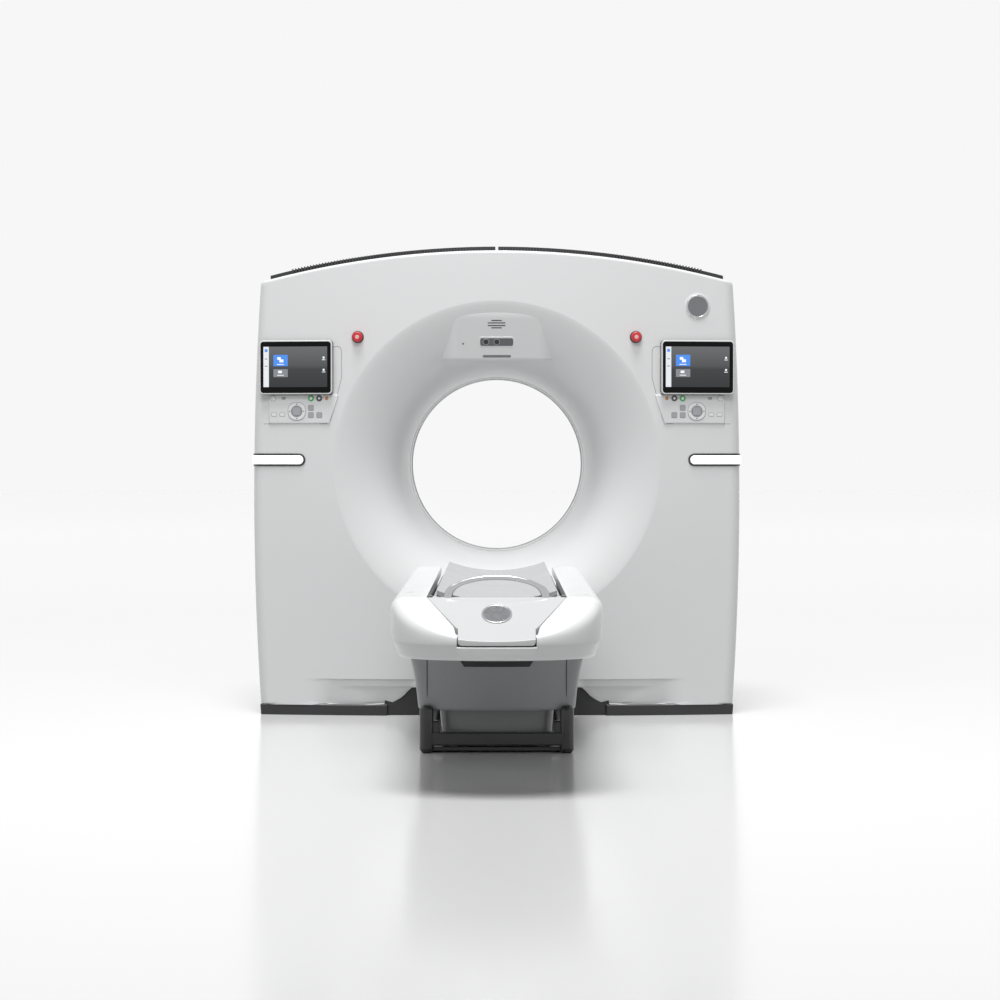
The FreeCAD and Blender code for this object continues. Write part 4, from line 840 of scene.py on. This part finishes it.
for side, sign in (("left", -1), ("right", 1)):
    stand = on_front(sign * PANEL_X)
    middle = sign * (TABLET_X - PANEL_X)
    trim(plate("tablet_case_" + side, box_outline(middle, TABLET_Z, 0.310, 0.226, 0.014), -0.002,
               0.020, 0.004, stand, tablet_case), "gantry", "tablet_case", "tablet_" + side)
    trim(plate("tablet_rim_" + side, box_outline(middle, TABLET_Z, 0.3098, 0.2258, 0.0165), 0.0185,
               0.0252, 0.003, stand, tablet_white), "gantry", "tablet_case")
    trim(plate("tablet_glass_" + side, box_outline(middle, TABLET_Z, 0.2985, 0.2145, 0.0125),
               0.022, 0.0256, 0.0005, stand, glass_black), "gantry", "tablet_case")
    trim(plate("screen_" + side, box_outline(middle - 0.001, TABLET_Z + 0.0019, 0.2700, 0.1690,
                                             0.001), 0.024, 0.02572, 0.0, stand, screen_grey, 1),
         "gantry", "tablet_case")
    for name, u, v, wide, high, finish in SCREEN_TILES:
        trim(plate("%s_%s" % (name, side), box_outline(middle + u, TABLET_Z + v, wide, high,
                                                       0.001, 2), 0.025,
                   0.02582 + 0.00004 * ("mark" in name or "line" in name), 0.0, stand, finish, 1),
             "gantry", "tablet_case")

    pad = [(0.698 - PANEL_X, 1.222), (0.955 - PANEL_X, 1.222), (0.955 - PANEL_X, 1.342),
           (0.660 - PANEL_X, 1.342)]
    if sign < 0:
        pad = [(-u, v) for u, v in reversed(pad)]
    trim(plate("keypad_%s_skin" % side, pad, -0.002, 0.0058, 0.0045, stand, key_pad), "gantry",
         "keypad_grey", "keypad_" + side)
    for name, x, z, wide, high, corner, finish in FLUSH_KEYS:
        u = sign * (x - PANEL_X)
        trim(plate("%s_edge_%s" % (name, side), box_outline(u, z, wide + 0.003, high + 0.003,
                                                            corner), 0.004, 0.0060, 0.0001,
                   stand, key_edge, 1), "gantry", "keypad_grey")
        trim(plate("%s_key_%s" % (name, side), box_outline(u, z, wide, high, corner * 0.9), 0.004,
                   0.0068, 0.0006, stand, finish), "gantry", "keypad_grey")

    u = sign * (DIAL_X - PANEL_X)
    trim(plate("dial_well_" + side, box_outline(u, DIAL_Z, 0.077, 0.077, 0.034, 8), 0.0, 0.0061,
               0.0002, stand, key_edge), "gantry", "keypad_grey")
    body = "dial_" + side
    trim(plate(body + "_skin", box_outline(u, DIAL_Z, 0.0735, 0.0735, 0.0325, 8), 0.0022, 0.0088,
               0.0025, stand, key_pale), body, "key_grey", body)
    trim(plate("dial_ring_" + side, ring_outline(u, DIAL_Z, 0.0245), 0.006, 0.0090, 0.0004,
               stand, key_edge), body, "key_grey")
    trim(plate("dial_middle_" + side, box_outline(u, DIAL_Z, 0.0330, 0.0330, 0.007), 0.006, 0.0099,
               0.001, stand, key_grey), body, "key_grey")
    for across, up in ((1, 0), (-1, 0), (0, 1), (0, -1)):
        trim(plate("dial_arrow_%s_%d" % (side, across * 2 + up + 3),
                   box_outline(u + across * 0.0295, DIAL_Z + up * 0.0295, 0.0055, 0.0055, 0.001, 2),
                   0.006, 0.0092, 0.0003, stand, key_edge), body, "key_grey")

    for key, x, finish in (("start", 0.7755, key_green), ("stop", 0.7405, key_dark)):
        u = sign * (x - PANEL_X)
        body = "%s_key_%s" % (key, side)
        trim(plate(body + "_skin", ring_outline(u, KEY_Z, 0.0123), 0.0022, 0.0088, 0.001, stand,
                   finish), body, "key_green" if key == "start" else "key_dark", body)
        mark = ring_outline(u, KEY_Z, 0.0062, 24) if key == "start" else \
            [(u + 0.0062, KEY_Z), (u, KEY_Z + 0.0062), (u - 0.0062, KEY_Z), (u, KEY_Z - 0.0062)]
        trim(plate(key + "_mark_" + side, mark, 0.006, 0.0092, 0.0002, stand, key_pale), body,
             "key_green" if key == "start" else "key_dark")

    groove_path = []
    for index, (x, z) in enumerate(GROOVE):
        before, after = GROOVE[max(index - 1, 0)], GROOVE[min(index + 1, len(GROOVE) - 1)]
        run = Vector((sign * (after[0] - before[0]), 0, after[1] - before[1])).normalized()
        across = Vector((0, 1, 0)).cross(run)
        turn = on_front(sign * x)
        groove_path.append((turn(0, z, 0.0), tuple(across), (0, -1, 0)))
    trim(ease(swept("panel_groove_" + side, groove_path,
                    rounded_section(-0.0013, 0.0013, -0.002, 0.0005, 0.0004, 2), groove_grey),
              0.0), "gantry", "gantry_cover")

# ---------------------------------------------------------------------------------------------
# Side handles
# A lit white grip wraps round each front corner of the gantry in a black moulded frame. Both
# are screwed through the cover from behind.
# ---------------------------------------------------------------------------------------------
HANDLE_Z = 1.07
handle_white = Finish("handle_white", (0.85, 0.855, 0.86), 0.2, Coat_Weight=0.5,
                      Emission_Color=(1.0, 1.0, 1.0, 1.0), Emission_Strength=0.55)
handle_black = Finish("handle_black", (0.012, 0.012, 0.013), 0.3, Coat_Weight=0.3)
handle_black.grain(500.0, 0.00005)


def corner_path(start, finish):
    """Points round the front right corner of the covers at the handles' height."""
    half = side_at(HANDLE_Z)
    points = [(x, front_at(x)) for x in np.linspace(start, half - SIDE_ROUND, 22)]
    for turn in np.linspace(0, 90, 13)[1:]:
        x = half - SIDE_ROUND * (1 - math.sin(math.radians(turn)))
        points.append((x, front_at(x) + SIDE_ROUND * (1 - math.cos(math.radians(turn)))))
    points += [(half, y) for y in np.linspace(points[-1][1], finish, 7)[1:]]
    return points


def wrapped_bar(name, start, back, half_height, low, high, rounding, sign, finish):
    """A bar with rounded ends that follows the cover round a corner."""
    points = corner_path(start, back)
    lengths = [0.0]
    for a, b in zip(points, points[1:]):
        lengths.append(lengths[-1] + math.dist(a, b))
    total = lengths[-1]

    def along(distance):
        return [float(np.interp(distance, lengths, places)) for places in zip(*points)]

    ends = [half_height * (1 - math.cos(math.radians(t))) for t in np.linspace(4, 90, 10)]
    stations = ends + [total - end for end in ends]
    stations += list(np.linspace(half_height, total - half_height, 50))
    rings = []
    for station in sorted(set(round(place, 6) for place in stations)):
        x, y = along(station)
        (ahead_x, ahead_y), (behind_x, behind_y) = (along(min(station + 0.002, total)),
                                                    along(max(station - 0.002, 0.0)))
        dx, dy = ahead_x - behind_x, ahead_y - behind_y
        size = math.hypot(dx, dy)
        away = (dy / size, -dx / size)
        near_end = min(station, total - station)
        share = 1.0
        if near_end < half_height:
            share = math.sqrt(max(1 - ((half_height - near_end) / half_height) ** 2, 0.0))
        tall = max(half_height * share, rounding * 0.6)
        rings.append([(sign * (x + away[0] * v), y + away[1] * v, HANDLE_Z + u)
                      for u, v in rounded_section(-tall, tall, low, high,
                                                  min(rounding, tall * 0.9))])
    count, size = len(rings), len(rings[0])
    faces = quads(count, size)
    faces += [tuple(range(size)), tuple(reversed(range((count - 1) * size, count * size)))]
    mesh = bpy.data.meshes.new(name)
    mesh.from_pydata([point for ring in rings for point in ring], [], faces)
    face_out(mesh)
    return ease(mesh_object(name, mesh, finish), 0.0)


for side, sign in (("left", -1), ("right", 1)):
    trim(wrapped_bar("handle_frame_" + side, 0.801, -0.331, 0.0268, -0.003, 0.0040, 0.003, sign,
                     handle_black), "gantry", "handle_white", "side_handle_" + side)
    trim(wrapped_bar("side_handle_%s_skin" % side, 0.809, -0.339, 0.0185, -0.001, 0.0088, 0.0065,
                     sign, handle_white), "gantry", "handle_white")

# ---------------------------------------------------------------------------------------------
# Gantry badge
# A plain round plate in a polished ring, set in a shallow white dish at the upper right. It is
# stuck on and carries no mark.
# ---------------------------------------------------------------------------------------------
BADGE_X, BADGE_Z = 0.84, 1.711
chrome = Finish("chrome", (0.5, 0.505, 0.515), 0.1, 1.0)
badge_plate = Finish("badge_disc", (0.2, 0.205, 0.215), 0.28, 0.9)
badge_plate.mottle(60.0, 0.22, 0.34)


def ring_on(name, u, v, inner, outer, back, front, rounding, stand, finish, count=64):
    """A flat ring with rounded edges, stood by a rule."""
    section = rounded_section(inner, outer, back, front, rounding)
    angles = [math.tau * i / count for i in range(count)]
    mesh = bpy.data.meshes.new(name)
    mesh.from_pydata([stand(u + r * math.cos(angle), v + r * math.sin(angle), out)
                      for angle in angles for r, out in section], [],
                     quads(count, len(section), along=True))
    face_out(mesh)
    return ease(mesh_object(name, mesh, finish), 0.0)


stand = on_front(BADGE_X)
trim(plate("badge_dish", ring_outline(0, BADGE_Z, 0.0535, 64), -0.002, 0.003, 0.002, stand,
           cover_white), "gantry", "badge_disc", "gantry_badge")
trim(ring_on("badge_ring", 0, BADGE_Z, 0.0415, 0.0485, 0.0, 0.0058, 0.0022, stand, chrome),
     "gantry", "badge_disc")
trim(plate("badge_plate", ring_outline(0, BADGE_Z, 0.042, 64), 0.0, 0.0042, 0.0004, stand,
           badge_plate), "gantry", "badge_disc")

# ---------------------------------------------------------------------------------------------
# Table base and column
# Two black steel runners are bolted to the floor and joined by a crossbar, with a post at each
# foot. The telescopic column stands between them inside three moulded grey skirts.
# ---------------------------------------------------------------------------------------------
post_black = Finish("post_black", (0.012, 0.012, 0.014), 0.32, Coat_Weight=0.25)
post_black.mottle(12.0, 0.26, 0.4).grain(700.0, 0.0001)


def block(name, low, high, rounding, finish, steps=3):
    """A box from its low corner to its high one, with rounded edges."""
    work = bmesh.new()
    bmesh.ops.create_cube(work, size=1.0)
    for vertex in work.verts:
        vertex.co = [low[i] + (vertex.co[i] + 0.5) * (high[i] - low[i]) for i in range(3)]
    mesh = bpy.data.meshes.new(name)
    work.to_mesh(mesh)
    work.free()
    return ease(mesh_object(name, mesh, finish), rounding, steps)


for name, low, high, rounding, replaced in (
        ("runner_left", (-0.275, -1.70, 0.0), (-0.236, -0.465, 0.052), 0.006, ("table_base",)),
        ("runner_right", (0.236, -1.70, 0.0), (0.275, -0.465, 0.052), 0.006, ()),
        ("base_floor", (-0.2365, -1.71, 0.004), (0.2365, -0.47, 0.019), 0.002, ()),
        ("crossbar", (-0.24, -1.752, 0.028), (0.24, -1.715, 0.076), 0.005, ())):
    trim(block(name, low, high, rounding, post_black), "gantry", "plinth_black", *replaced)
for side, sign in (("left", -1), ("right", 1)):
    for name, inner, outer, front, back, low, high, rounding in (
            ("post", 0.2315, 0.2825, -1.7595, -1.70, 0.0, 0.1745, 0.019),
            ("post_gusset", 0.2105, 0.240, -1.746, -1.70, 0.062, 0.118, 0.008)):
        low_x, high_x = sorted((sign * inner, sign * outer))
        trim(block("%s_%s" % (name, side), (low_x, front, low), (high_x, back, high), rounding,
                   post_black, 5), "gantry", "plinth_black")

skirt_grey = Finish("skirt_grey", (0.34, 0.345, 0.352), 0.4, Coat_Weight=0.15)
skirt_grey.mottle(3.0, 0.36, 0.46).grain(320.0, 0.00008)
skirt_dark = Finish("skirt_dark", (0.16, 0.165, 0.17), 0.45)
skirt_dark.mottle(3.0, 0.4, 0.5)
dress("middle_skirt", skirt_dark, "skirt_grey", "middle_stage", 0.003)


def grid_mesh(name, rows, finish, closed=False, angle=40.0):
    """A surface through rows of points, with its normals made to face out."""
    mesh = bpy.data.meshes.new(name)
    mesh.from_pydata([tuple(point) for row in rows for point in row], [],
                     quads(len(rows), len(rows[0]), around=closed))
    face_out(mesh, merge=1e-6)
    return soften(mesh_object(name, mesh, finish), angle)


def skirt_ring(half, front, back, bow):
    """A skirt's outline from above: bowed at the foot end, with rounded corners."""
    corner = 0.045
    points = [(x, front + bow * (x / half) ** 2)
              for x in np.linspace(-half + corner, half - corner, 25)]
    side_y = front + bow * ((half - corner) / half) ** 2
    for turn in (18, 36, 54, 72, 90):
        angle = math.radians(turn)
        points.append((half - corner + corner * math.sin(angle),
                       side_y + corner * (1 - math.cos(angle))))
    points += [(half, y) for y in np.linspace(side_y + corner, back, 12)[1:]]
    return [(-x, y) for x, y in reversed(points[25:])] + points


SKIRT_HALF, SKIRT_FRONT, SKIRT_BOW = 0.290, -1.775, 0.07
UPPER_PROFILE = ((0.1582, 0.012), (0.1575, 0.006), (0.1615, 0.0015), (0.170, 0.0), (0.20, -0.003),
                 (0.25, -0.0085), (0.30, -0.017), (0.34, -0.027), (0.37, -0.037), (0.40, -0.049),
                 (0.4405, -0.058))
LOWER_PROFILE = ((0.0205, 0.008), (0.0205, 0.003), (0.026, 0.0), (0.06, -0.0015), (0.12, -0.007),
                 (0.20, -0.014), (0.38, -0.018))
for node, body, half, front, back, bow, profile in (
        ("upper_skirt", "table_top", SKIRT_HALF, SKIRT_FRONT, -0.562, SKIRT_BOW, UPPER_PROFILE),
        ("lower_skirt", "gantry", 0.201, -1.700, -0.602, 0.03, LOWER_PROFILE)):
    rows = [[(x - x / half * swell, y + max(swell, 0.0) * (abs(x / half) < 0.99) * 0.4, z)
             for x, y in skirt_ring(half, front, back, bow)] for z, swell in profile]
    trim(grid_mesh(node + "_skin", rows, skirt_grey), body, "skirt_grey", node)


def on_skirt(u, v, out):
    """A place on the foot end of the upper skirt."""
    half = SKIRT_HALF - np.interp(v, *zip(*UPPER_PROFILE))
    return (u, SKIRT_FRONT + SKIRT_BOW * (u / half) ** 2 - out, v)


# Dark for the skirt's seams, and painted shade in its recess.
seam_dark = Finish("seam_dark", (0.02, 0.02, 0.022), 0.6)
for side, sign in (("left", -1), ("right", 1)):
    trim(plate("skirt_seam_" + side, box_outline(sign * 0.2555, 0.262, 0.0028, 0.185, 0.001, 2),
               -0.006, 0.0012, 0.0001, on_skirt, seam_dark, 1), "table_top", "skirt_grey")

# The recess is not cut: the dark plate inside its grey rim is painted shade, standing in for the
# hollow's depth.
for name, low, high, half_low, half_high, out, finish in (
        ("skirt_recess_rim", 0.309, 0.357, 0.1245, 0.1500, 0.002, skirt_grey),
        ("skirt_recess", 0.3185, 0.353, 0.1195, 0.1420, 0.003, seam_dark)):
    rows = [[on_skirt(half * share, z, proud) for share in np.linspace(-1, 1, 30)]
            for half, z, proud in ((half_low, low, -0.004), (half_low, low, out),
                                   (half_high, high, out), (half_high, high, -0.004))]
    trim(grid_mesh(name, rows, finish), "table_top", "skirt_grey")

# ---------------------------------------------------------------------------------------------
# Table cover
# A long white moulding round the table's steel frame. Its foot end slopes down to a bowed nose,
# and the cradle runs in a channel along its top.
# ---------------------------------------------------------------------------------------------
NOSE_BACK, NOSE_FRONT = -2.79, -2.989
NOSE_HIGH, NOSE_LOW = 0.634, 0.506
COVER_HALF, COVER_HEAD, TURN_START = 0.3438, -0.7045, -2.72
CHANNEL_HALF = 0.2252
NOSE_POWER = 2.4
FUNNEL_HALF, FUNNEL_FOOT, FUNNEL_TOP_HALF = 0.1360, -2.9245, 0.21
GATE_HALF, GATE_TOP, GATE_BELT = 0.1265, 0.4870, 0.480


def nose_slope(y):
    """The height of the nose's top at a place along."""
    return NOSE_HIGH - max(NOSE_BACK - y, 0.0) * (NOSE_HIGH - NOSE_LOW) / (NOSE_BACK - NOSE_FRONT)


def nose_point(turn):
    """A point on the nose's rounded outline from above, and the way it faces."""
    half, reach, power = COVER_HALF, TURN_START - NOSE_FRONT, 2 / NOSE_POWER
    c, s = math.cos(turn), math.sin(turn)
    x = half * math.copysign(abs(c) ** power, c)
    y = TURN_START - reach * abs(s) ** power
    nx = math.copysign(abs(c) ** (2 - power), c) / half
    ny = -abs(s) ** (2 - power) / reach
    size = math.hypot(nx, ny)
    return (x, y), (nx / size, ny / size)


def nose_wall(x):
    """How far forward the nose reaches at a place across."""
    share = min(abs(x) / COVER_HALF, 1.0) ** NOSE_POWER
    return TURN_START - (TURN_START - NOSE_FRONT) * (1 - share) ** (1 / NOSE_POWER)


def gate_facing(x):
    """The way the nose faces at a place across the cap's gate."""
    lean = Vector((x * 0.75, -0.30, 0)).normalized()
    return lean.x, lean.y


def inner_edge(x, y):
    """Where the cover's top ends at the channel or round the cap, for a place on its rim."""
    if y > NOSE_BACK:
        return math.copysign(CHANNEL_HALF, x), y
    side = abs(x)
    if side >= 0.335:
        return math.copysign(CHANNEL_HALF, x), NOSE_BACK
    if side >= FUNNEL_TOP_HALF:
        share = (0.335 - side) / 0.125
        return (math.copysign(CHANNEL_HALF + (FUNNEL_HALF - CHANNEL_HALF) * share, x),
                NOSE_BACK + (FUNNEL_FOOT - NOSE_BACK) * share)
    share = (FUNNEL_TOP_HALF - side) / 0.0835
    return (math.copysign(FUNNEL_HALF - 0.0085 * min(share, 1.0), x),
            FUNNEL_FOOT + (nose_wall(0.1275) + 0.012 - FUNNEL_FOOT) * share)


cover_paint = Finish("table_cover", (0.74, 0.745, 0.75), 0.28, Coat_Weight=0.3,
                     Coat_Roughness=0.1)
cover_paint.mottle(4.0, 0.25, 0.33).grain(260.0, 0.00006)
half_rim = [((COVER_HALF, y), (1.0, 0.0)) for y in np.linspace(COVER_HEAD, TURN_START, 30)]
half_rim += [nose_point(math.radians(turn)) for turn in np.linspace(0, 90, 46)[1:-1]]
half_rim = [entry for entry in half_rim if entry[0][0] > GATE_HALF + 0.001]
half_rim.append(((GATE_HALF, nose_wall(GATE_HALF)), gate_facing(GATE_HALF)))
gate_rim = [((x, nose_wall(x)), gate_facing(x))
            for x in np.linspace(GATE_HALF - 0.0004, -GATE_HALF + 0.0004, 25)]
rim = half_rim + gate_rim + [((-x, y), (-nx, ny)) for (x, y), (nx, ny) in reversed(half_rim)]

cover_columns = []
for (x, y), (nx, ny) in rim:
    in_gate = abs(x) < GATE_HALF
    if in_gate:
        top, belt, rounding, foot = GATE_TOP, GATE_BELT, 0.0025, 0.470
        ix, iy, iz = x, y + 0.03, top
    else:
        top, foot = nose_slope(y), 0.473
        belt = 0.522 - 0.030 * smooth_step(-y, 2.70, 2.85)
        rounding = min(0.040, (top - belt) * 0.85)
        ix, iy = inner_edge(x, y)
        iz = nose_slope(iy)
    column = [(ix, iy, iz - 0.030), (ix, iy, iz - 0.003),
              (ix + (x - ix) * 0.004, iy + (y - iy) * 0.004, iz - 0.0008)]
    start = (x - nx * rounding, y - ny * rounding)
    for share in (0.02, 0.2, 0.4, 0.6, 0.8, 1.0):
        px, py = ix + (start[0] - ix) * share, iy + (start[1] - iy) * share
        column.append((px, py, top if in_gate else nose_slope(py)))
    head_z = column[-1][2]
    for turn in (15, 30, 45, 60, 75, 90):
        out = rounding * math.sin(math.radians(turn))
        column.append((start[0] + nx * out, start[1] + ny * out,
                       head_z - rounding * (1 - math.cos(math.radians(turn)))))
    wall_top = column[-1][2]
    for share in (0.35, 0.7, 0.93):
        swell = 0.0008 * math.sin(math.pi * share)
        column.append((x + nx * swell, y + ny * swell, wall_top + (belt - wall_top) * share))
    column += [(x - nx * inset, y - ny * inset, z)
               for inset, z in ((0.0, belt), (0.0012, belt - 0.003), (0.010, foot),
                                (0.018, 0.455), (0.0235, 0.4455), (0.028, 0.4418),
                                (0.034, 0.4412), (0.075, 0.4412))]
    cover_columns.append(column)
cover_rows = list(zip(*cover_columns))
trim(grid_mesh("table_cover_skin", cover_rows, cover_paint, angle=48.0), "table_top",
     "table_cover", "table_cover")
trim(block("cover_head_plate", (-0.31, COVER_HEAD - 0.003, 0.446),
           (0.31, COVER_HEAD + 0.0004, 0.515), 0.002, cover_paint, 2), "table_top", "table_cover")

rail_dark = Finish("rail_dark", (0.03, 0.031, 0.034), 0.4)
rail_pale = Finish("rail_pale", (0.5, 0.505, 0.515), 0.3, 0.6)
for side, sign in (("left", -1), ("right", 1)):
    for name, start, width, top, finish in (("rail_gap", 0.2005, 0.0225, 0.5975, rail_dark),
                                            ("rail_strip", 0.2075, 0.0105, 0.6045, rail_pale)):
        low, high = sorted((sign * start, sign * (start + width)))
        trim(block("%s_%s" % (name, side), (low, -2.715, top - 0.02), (high, -0.712, top), 0.0015,
                   finish, 2), "table_top", "table_cover")

# ---------------------------------------------------------------------------------------------
# Cradle
# A thin carbon-fibre shell that carries the patient, hollow across and rolled at its edges. It
# rides on a carriage in the channel, and a moulded end cap with a badge closes its foot.
# ---------------------------------------------------------------------------------------------
paint(steel, "steel_frame", "carriage")
cradle_shell = Finish("cradle_shell", (0.34, 0.344, 0.352), 0.34, Coat_Weight=0.3,
                      Coat_Roughness=0.15)
cradle_shell.mottle(5.0, 0.3, 0.4).grain(500.0, 0.00005)
dress("cradle", cradle_shell, "cradle_shell", "cradle", 0.002)
cap_white = Finish("cap_white", (0.56, 0.565, 0.57), 0.28, Coat_Weight=0.3)
cap_white.mottle(5.0, 0.25, 0.33)


CAP_NECK, CAP_FLOOR, CAP_EDGE, CAP_CORNER = 0.1222, 0.4915, 0.003, 0.012
CAP_REAR = TURN_START - 0.007
CAP_SHOULDER, CAP_HALF = 0.1330, 0.2225


def cap_front(x):
    """How far the end cap's top reaches at a place across: a funnel, then the nose."""
    side = abs(x)
    if side <= CAP_NECK:
        return nose_wall(x) - 0.0002
    return float(np.interp(side, [CAP_NECK, CAP_SHOULDER, CAP_HALF],
                           [-2.9330, -2.9230, NOSE_BACK - 0.003]))


cap_columns = sorted(set([round(v, 5) for v in np.linspace(0, 0.114, 13)]
                         + [0.1175, 0.1200, 0.1213, CAP_NECK, 0.1226, 0.1240, 0.1265, 0.1300,
                            CAP_SHOULDER] + [round(v, 5) for v in np.linspace(0.14, CAP_HALF, 12)]))
cap_columns = [-x for x in reversed(cap_columns[1:])] + cap_columns
cap_rows = []
for x in cap_columns:
    front, side, floor_z = cap_front(x), abs(x), CAP_FLOOR
    if side > CAP_NECK:
        floor_z = nose_slope(front) - 0.026
    elif side > CAP_NECK - CAP_CORNER:
        away = (side - (CAP_NECK - CAP_CORNER)) / CAP_CORNER
        floor_z += CAP_CORNER * (1 - math.sqrt(max(1 - away * away, 0.0)))
    row = [(x, CAP_REAR + 0.003, 0.598), (x, CAP_REAR + 0.003, 0.628), (x, CAP_REAR, 0.6325)]
    for share in np.linspace(0, 1, 22)[1:]:
        y = CAP_REAR + (front + CAP_EDGE - CAP_REAR) * share
        row.append((x, y, nose_slope(y) - 0.0012))
    top = row[-1][2]
    for turn in (30, 60, 90):
        angle = math.radians(turn)
        row.append((x, front + CAP_EDGE * (1 - math.sin(angle)),
                    top - CAP_EDGE * (1 - math.cos(angle))))
    for share in (0.5, 1.0):
        row.append((x, front, row[-1][2] + (floor_z - row[-1][2]) * share))
    row.append((x, front + 0.02, floor_z - 0.0005))
    cap_rows.append(row)
trim(grid_mesh("cradle_end_cap_skin", cap_rows, cap_white), "cradle", "table_cover",
     "cradle_end_cap")
for side, sign in (("left", -1), ("right", 1)):
    low, high = sorted((sign * 0.2065, sign * 0.2222))
    trim(block("cap_corner_" + side, (low, -2.7875, 0.6295), (high, -2.768, 0.6375), 0.002,
               handle_black, 2), "cradle", "table_cover")
trim(block("cap_rear_line", (-0.128, -2.7835, 0.6310), (0.128, -2.7795, 0.6338), 0.0008,
           rail_dark, 2), "cradle", "table_cover")
trim(block("nose_shadow_tray", (-0.222, -2.93, 0.47), (0.222, -2.745, 0.4855), 0.002, rail_dark,
           2), "table_top", "table_cover")

NOSE_LEAN = math.atan((NOSE_HIGH - NOSE_LOW) / (NOSE_BACK - NOSE_FRONT))
CAP_BADGE = 0.092


def on_nose(u, v, out):
    """A place on the cap's slope: across, down the slope from its top, and out from it."""
    return (u, NOSE_BACK - v * math.cos(NOSE_LEAN) - out * math.sin(NOSE_LEAN),
            NOSE_HIGH - 0.0015 - v * math.sin(NOSE_LEAN) + out * math.cos(NOSE_LEAN))


trim(ring_on("cap_badge_ring", 0.0, CAP_BADGE, 0.0425, 0.0490, -0.002, 0.0042, 0.002, on_nose,
             chrome), "cradle", "badge_disc")
trim(plate("cap_badge_plate", ring_outline(0.0, CAP_BADGE, 0.0435, 64)[::-1], -0.002, 0.0028,
           0.0004, on_nose, badge_plate), "cradle", "badge_disc")

# ---------------------------------------------------------------------------------------------
# Cradle handle
# A chromed steel tube bent to an arch. It stands on the end cap in two flared feet, and the
# operator holds it to move the cradle.
# ---------------------------------------------------------------------------------------------
GRIP_Y, GRIP_FOOT, GRIP_HALF, GRIP_RISE = -2.782, 0.636, 0.158, 0.060
GRIP_THICK, GRIP_FLARE, GRIP_DEEP, GRIP_SUNK = 0.0080, 0.0060, 0.0062, 0.006
grip_path = [(-GRIP_HALF * math.cos(angle),
              GRIP_FOOT - GRIP_SUNK + (GRIP_RISE + GRIP_SUNK) * math.sin(angle) ** 0.9)
             for angle in (math.radians(turn) for turn in np.linspace(0, 180, 61))]
grip_rows = []
for index, (x, z) in enumerate(grip_path):
    before, after = grip_path[max(index - 1, 0)], grip_path[min(index + 1, len(grip_path) - 1)]
    run = Vector((after[0] - before[0], 0, after[1] - before[1])).normalized()
    up = Vector((-run.z, 0, run.x))
    half = GRIP_THICK + GRIP_FLARE * smooth_step(abs(x), 0.125, GRIP_HALF)
    grip_rows.append([(x + up.x * half * math.cos(a),
                       GRIP_Y + GRIP_DEEP * math.sin(a) * (half / GRIP_THICK),
                       z + up.z * half * math.cos(a))
                      for a in np.linspace(0, math.tau, 25)[:-1]])
grip = grid_mesh("cradle_handle_skin", grip_rows, chrome, closed=True, angle=60.0)
trim(grip, "cradle", "grip_chrome", "cradle_handle")
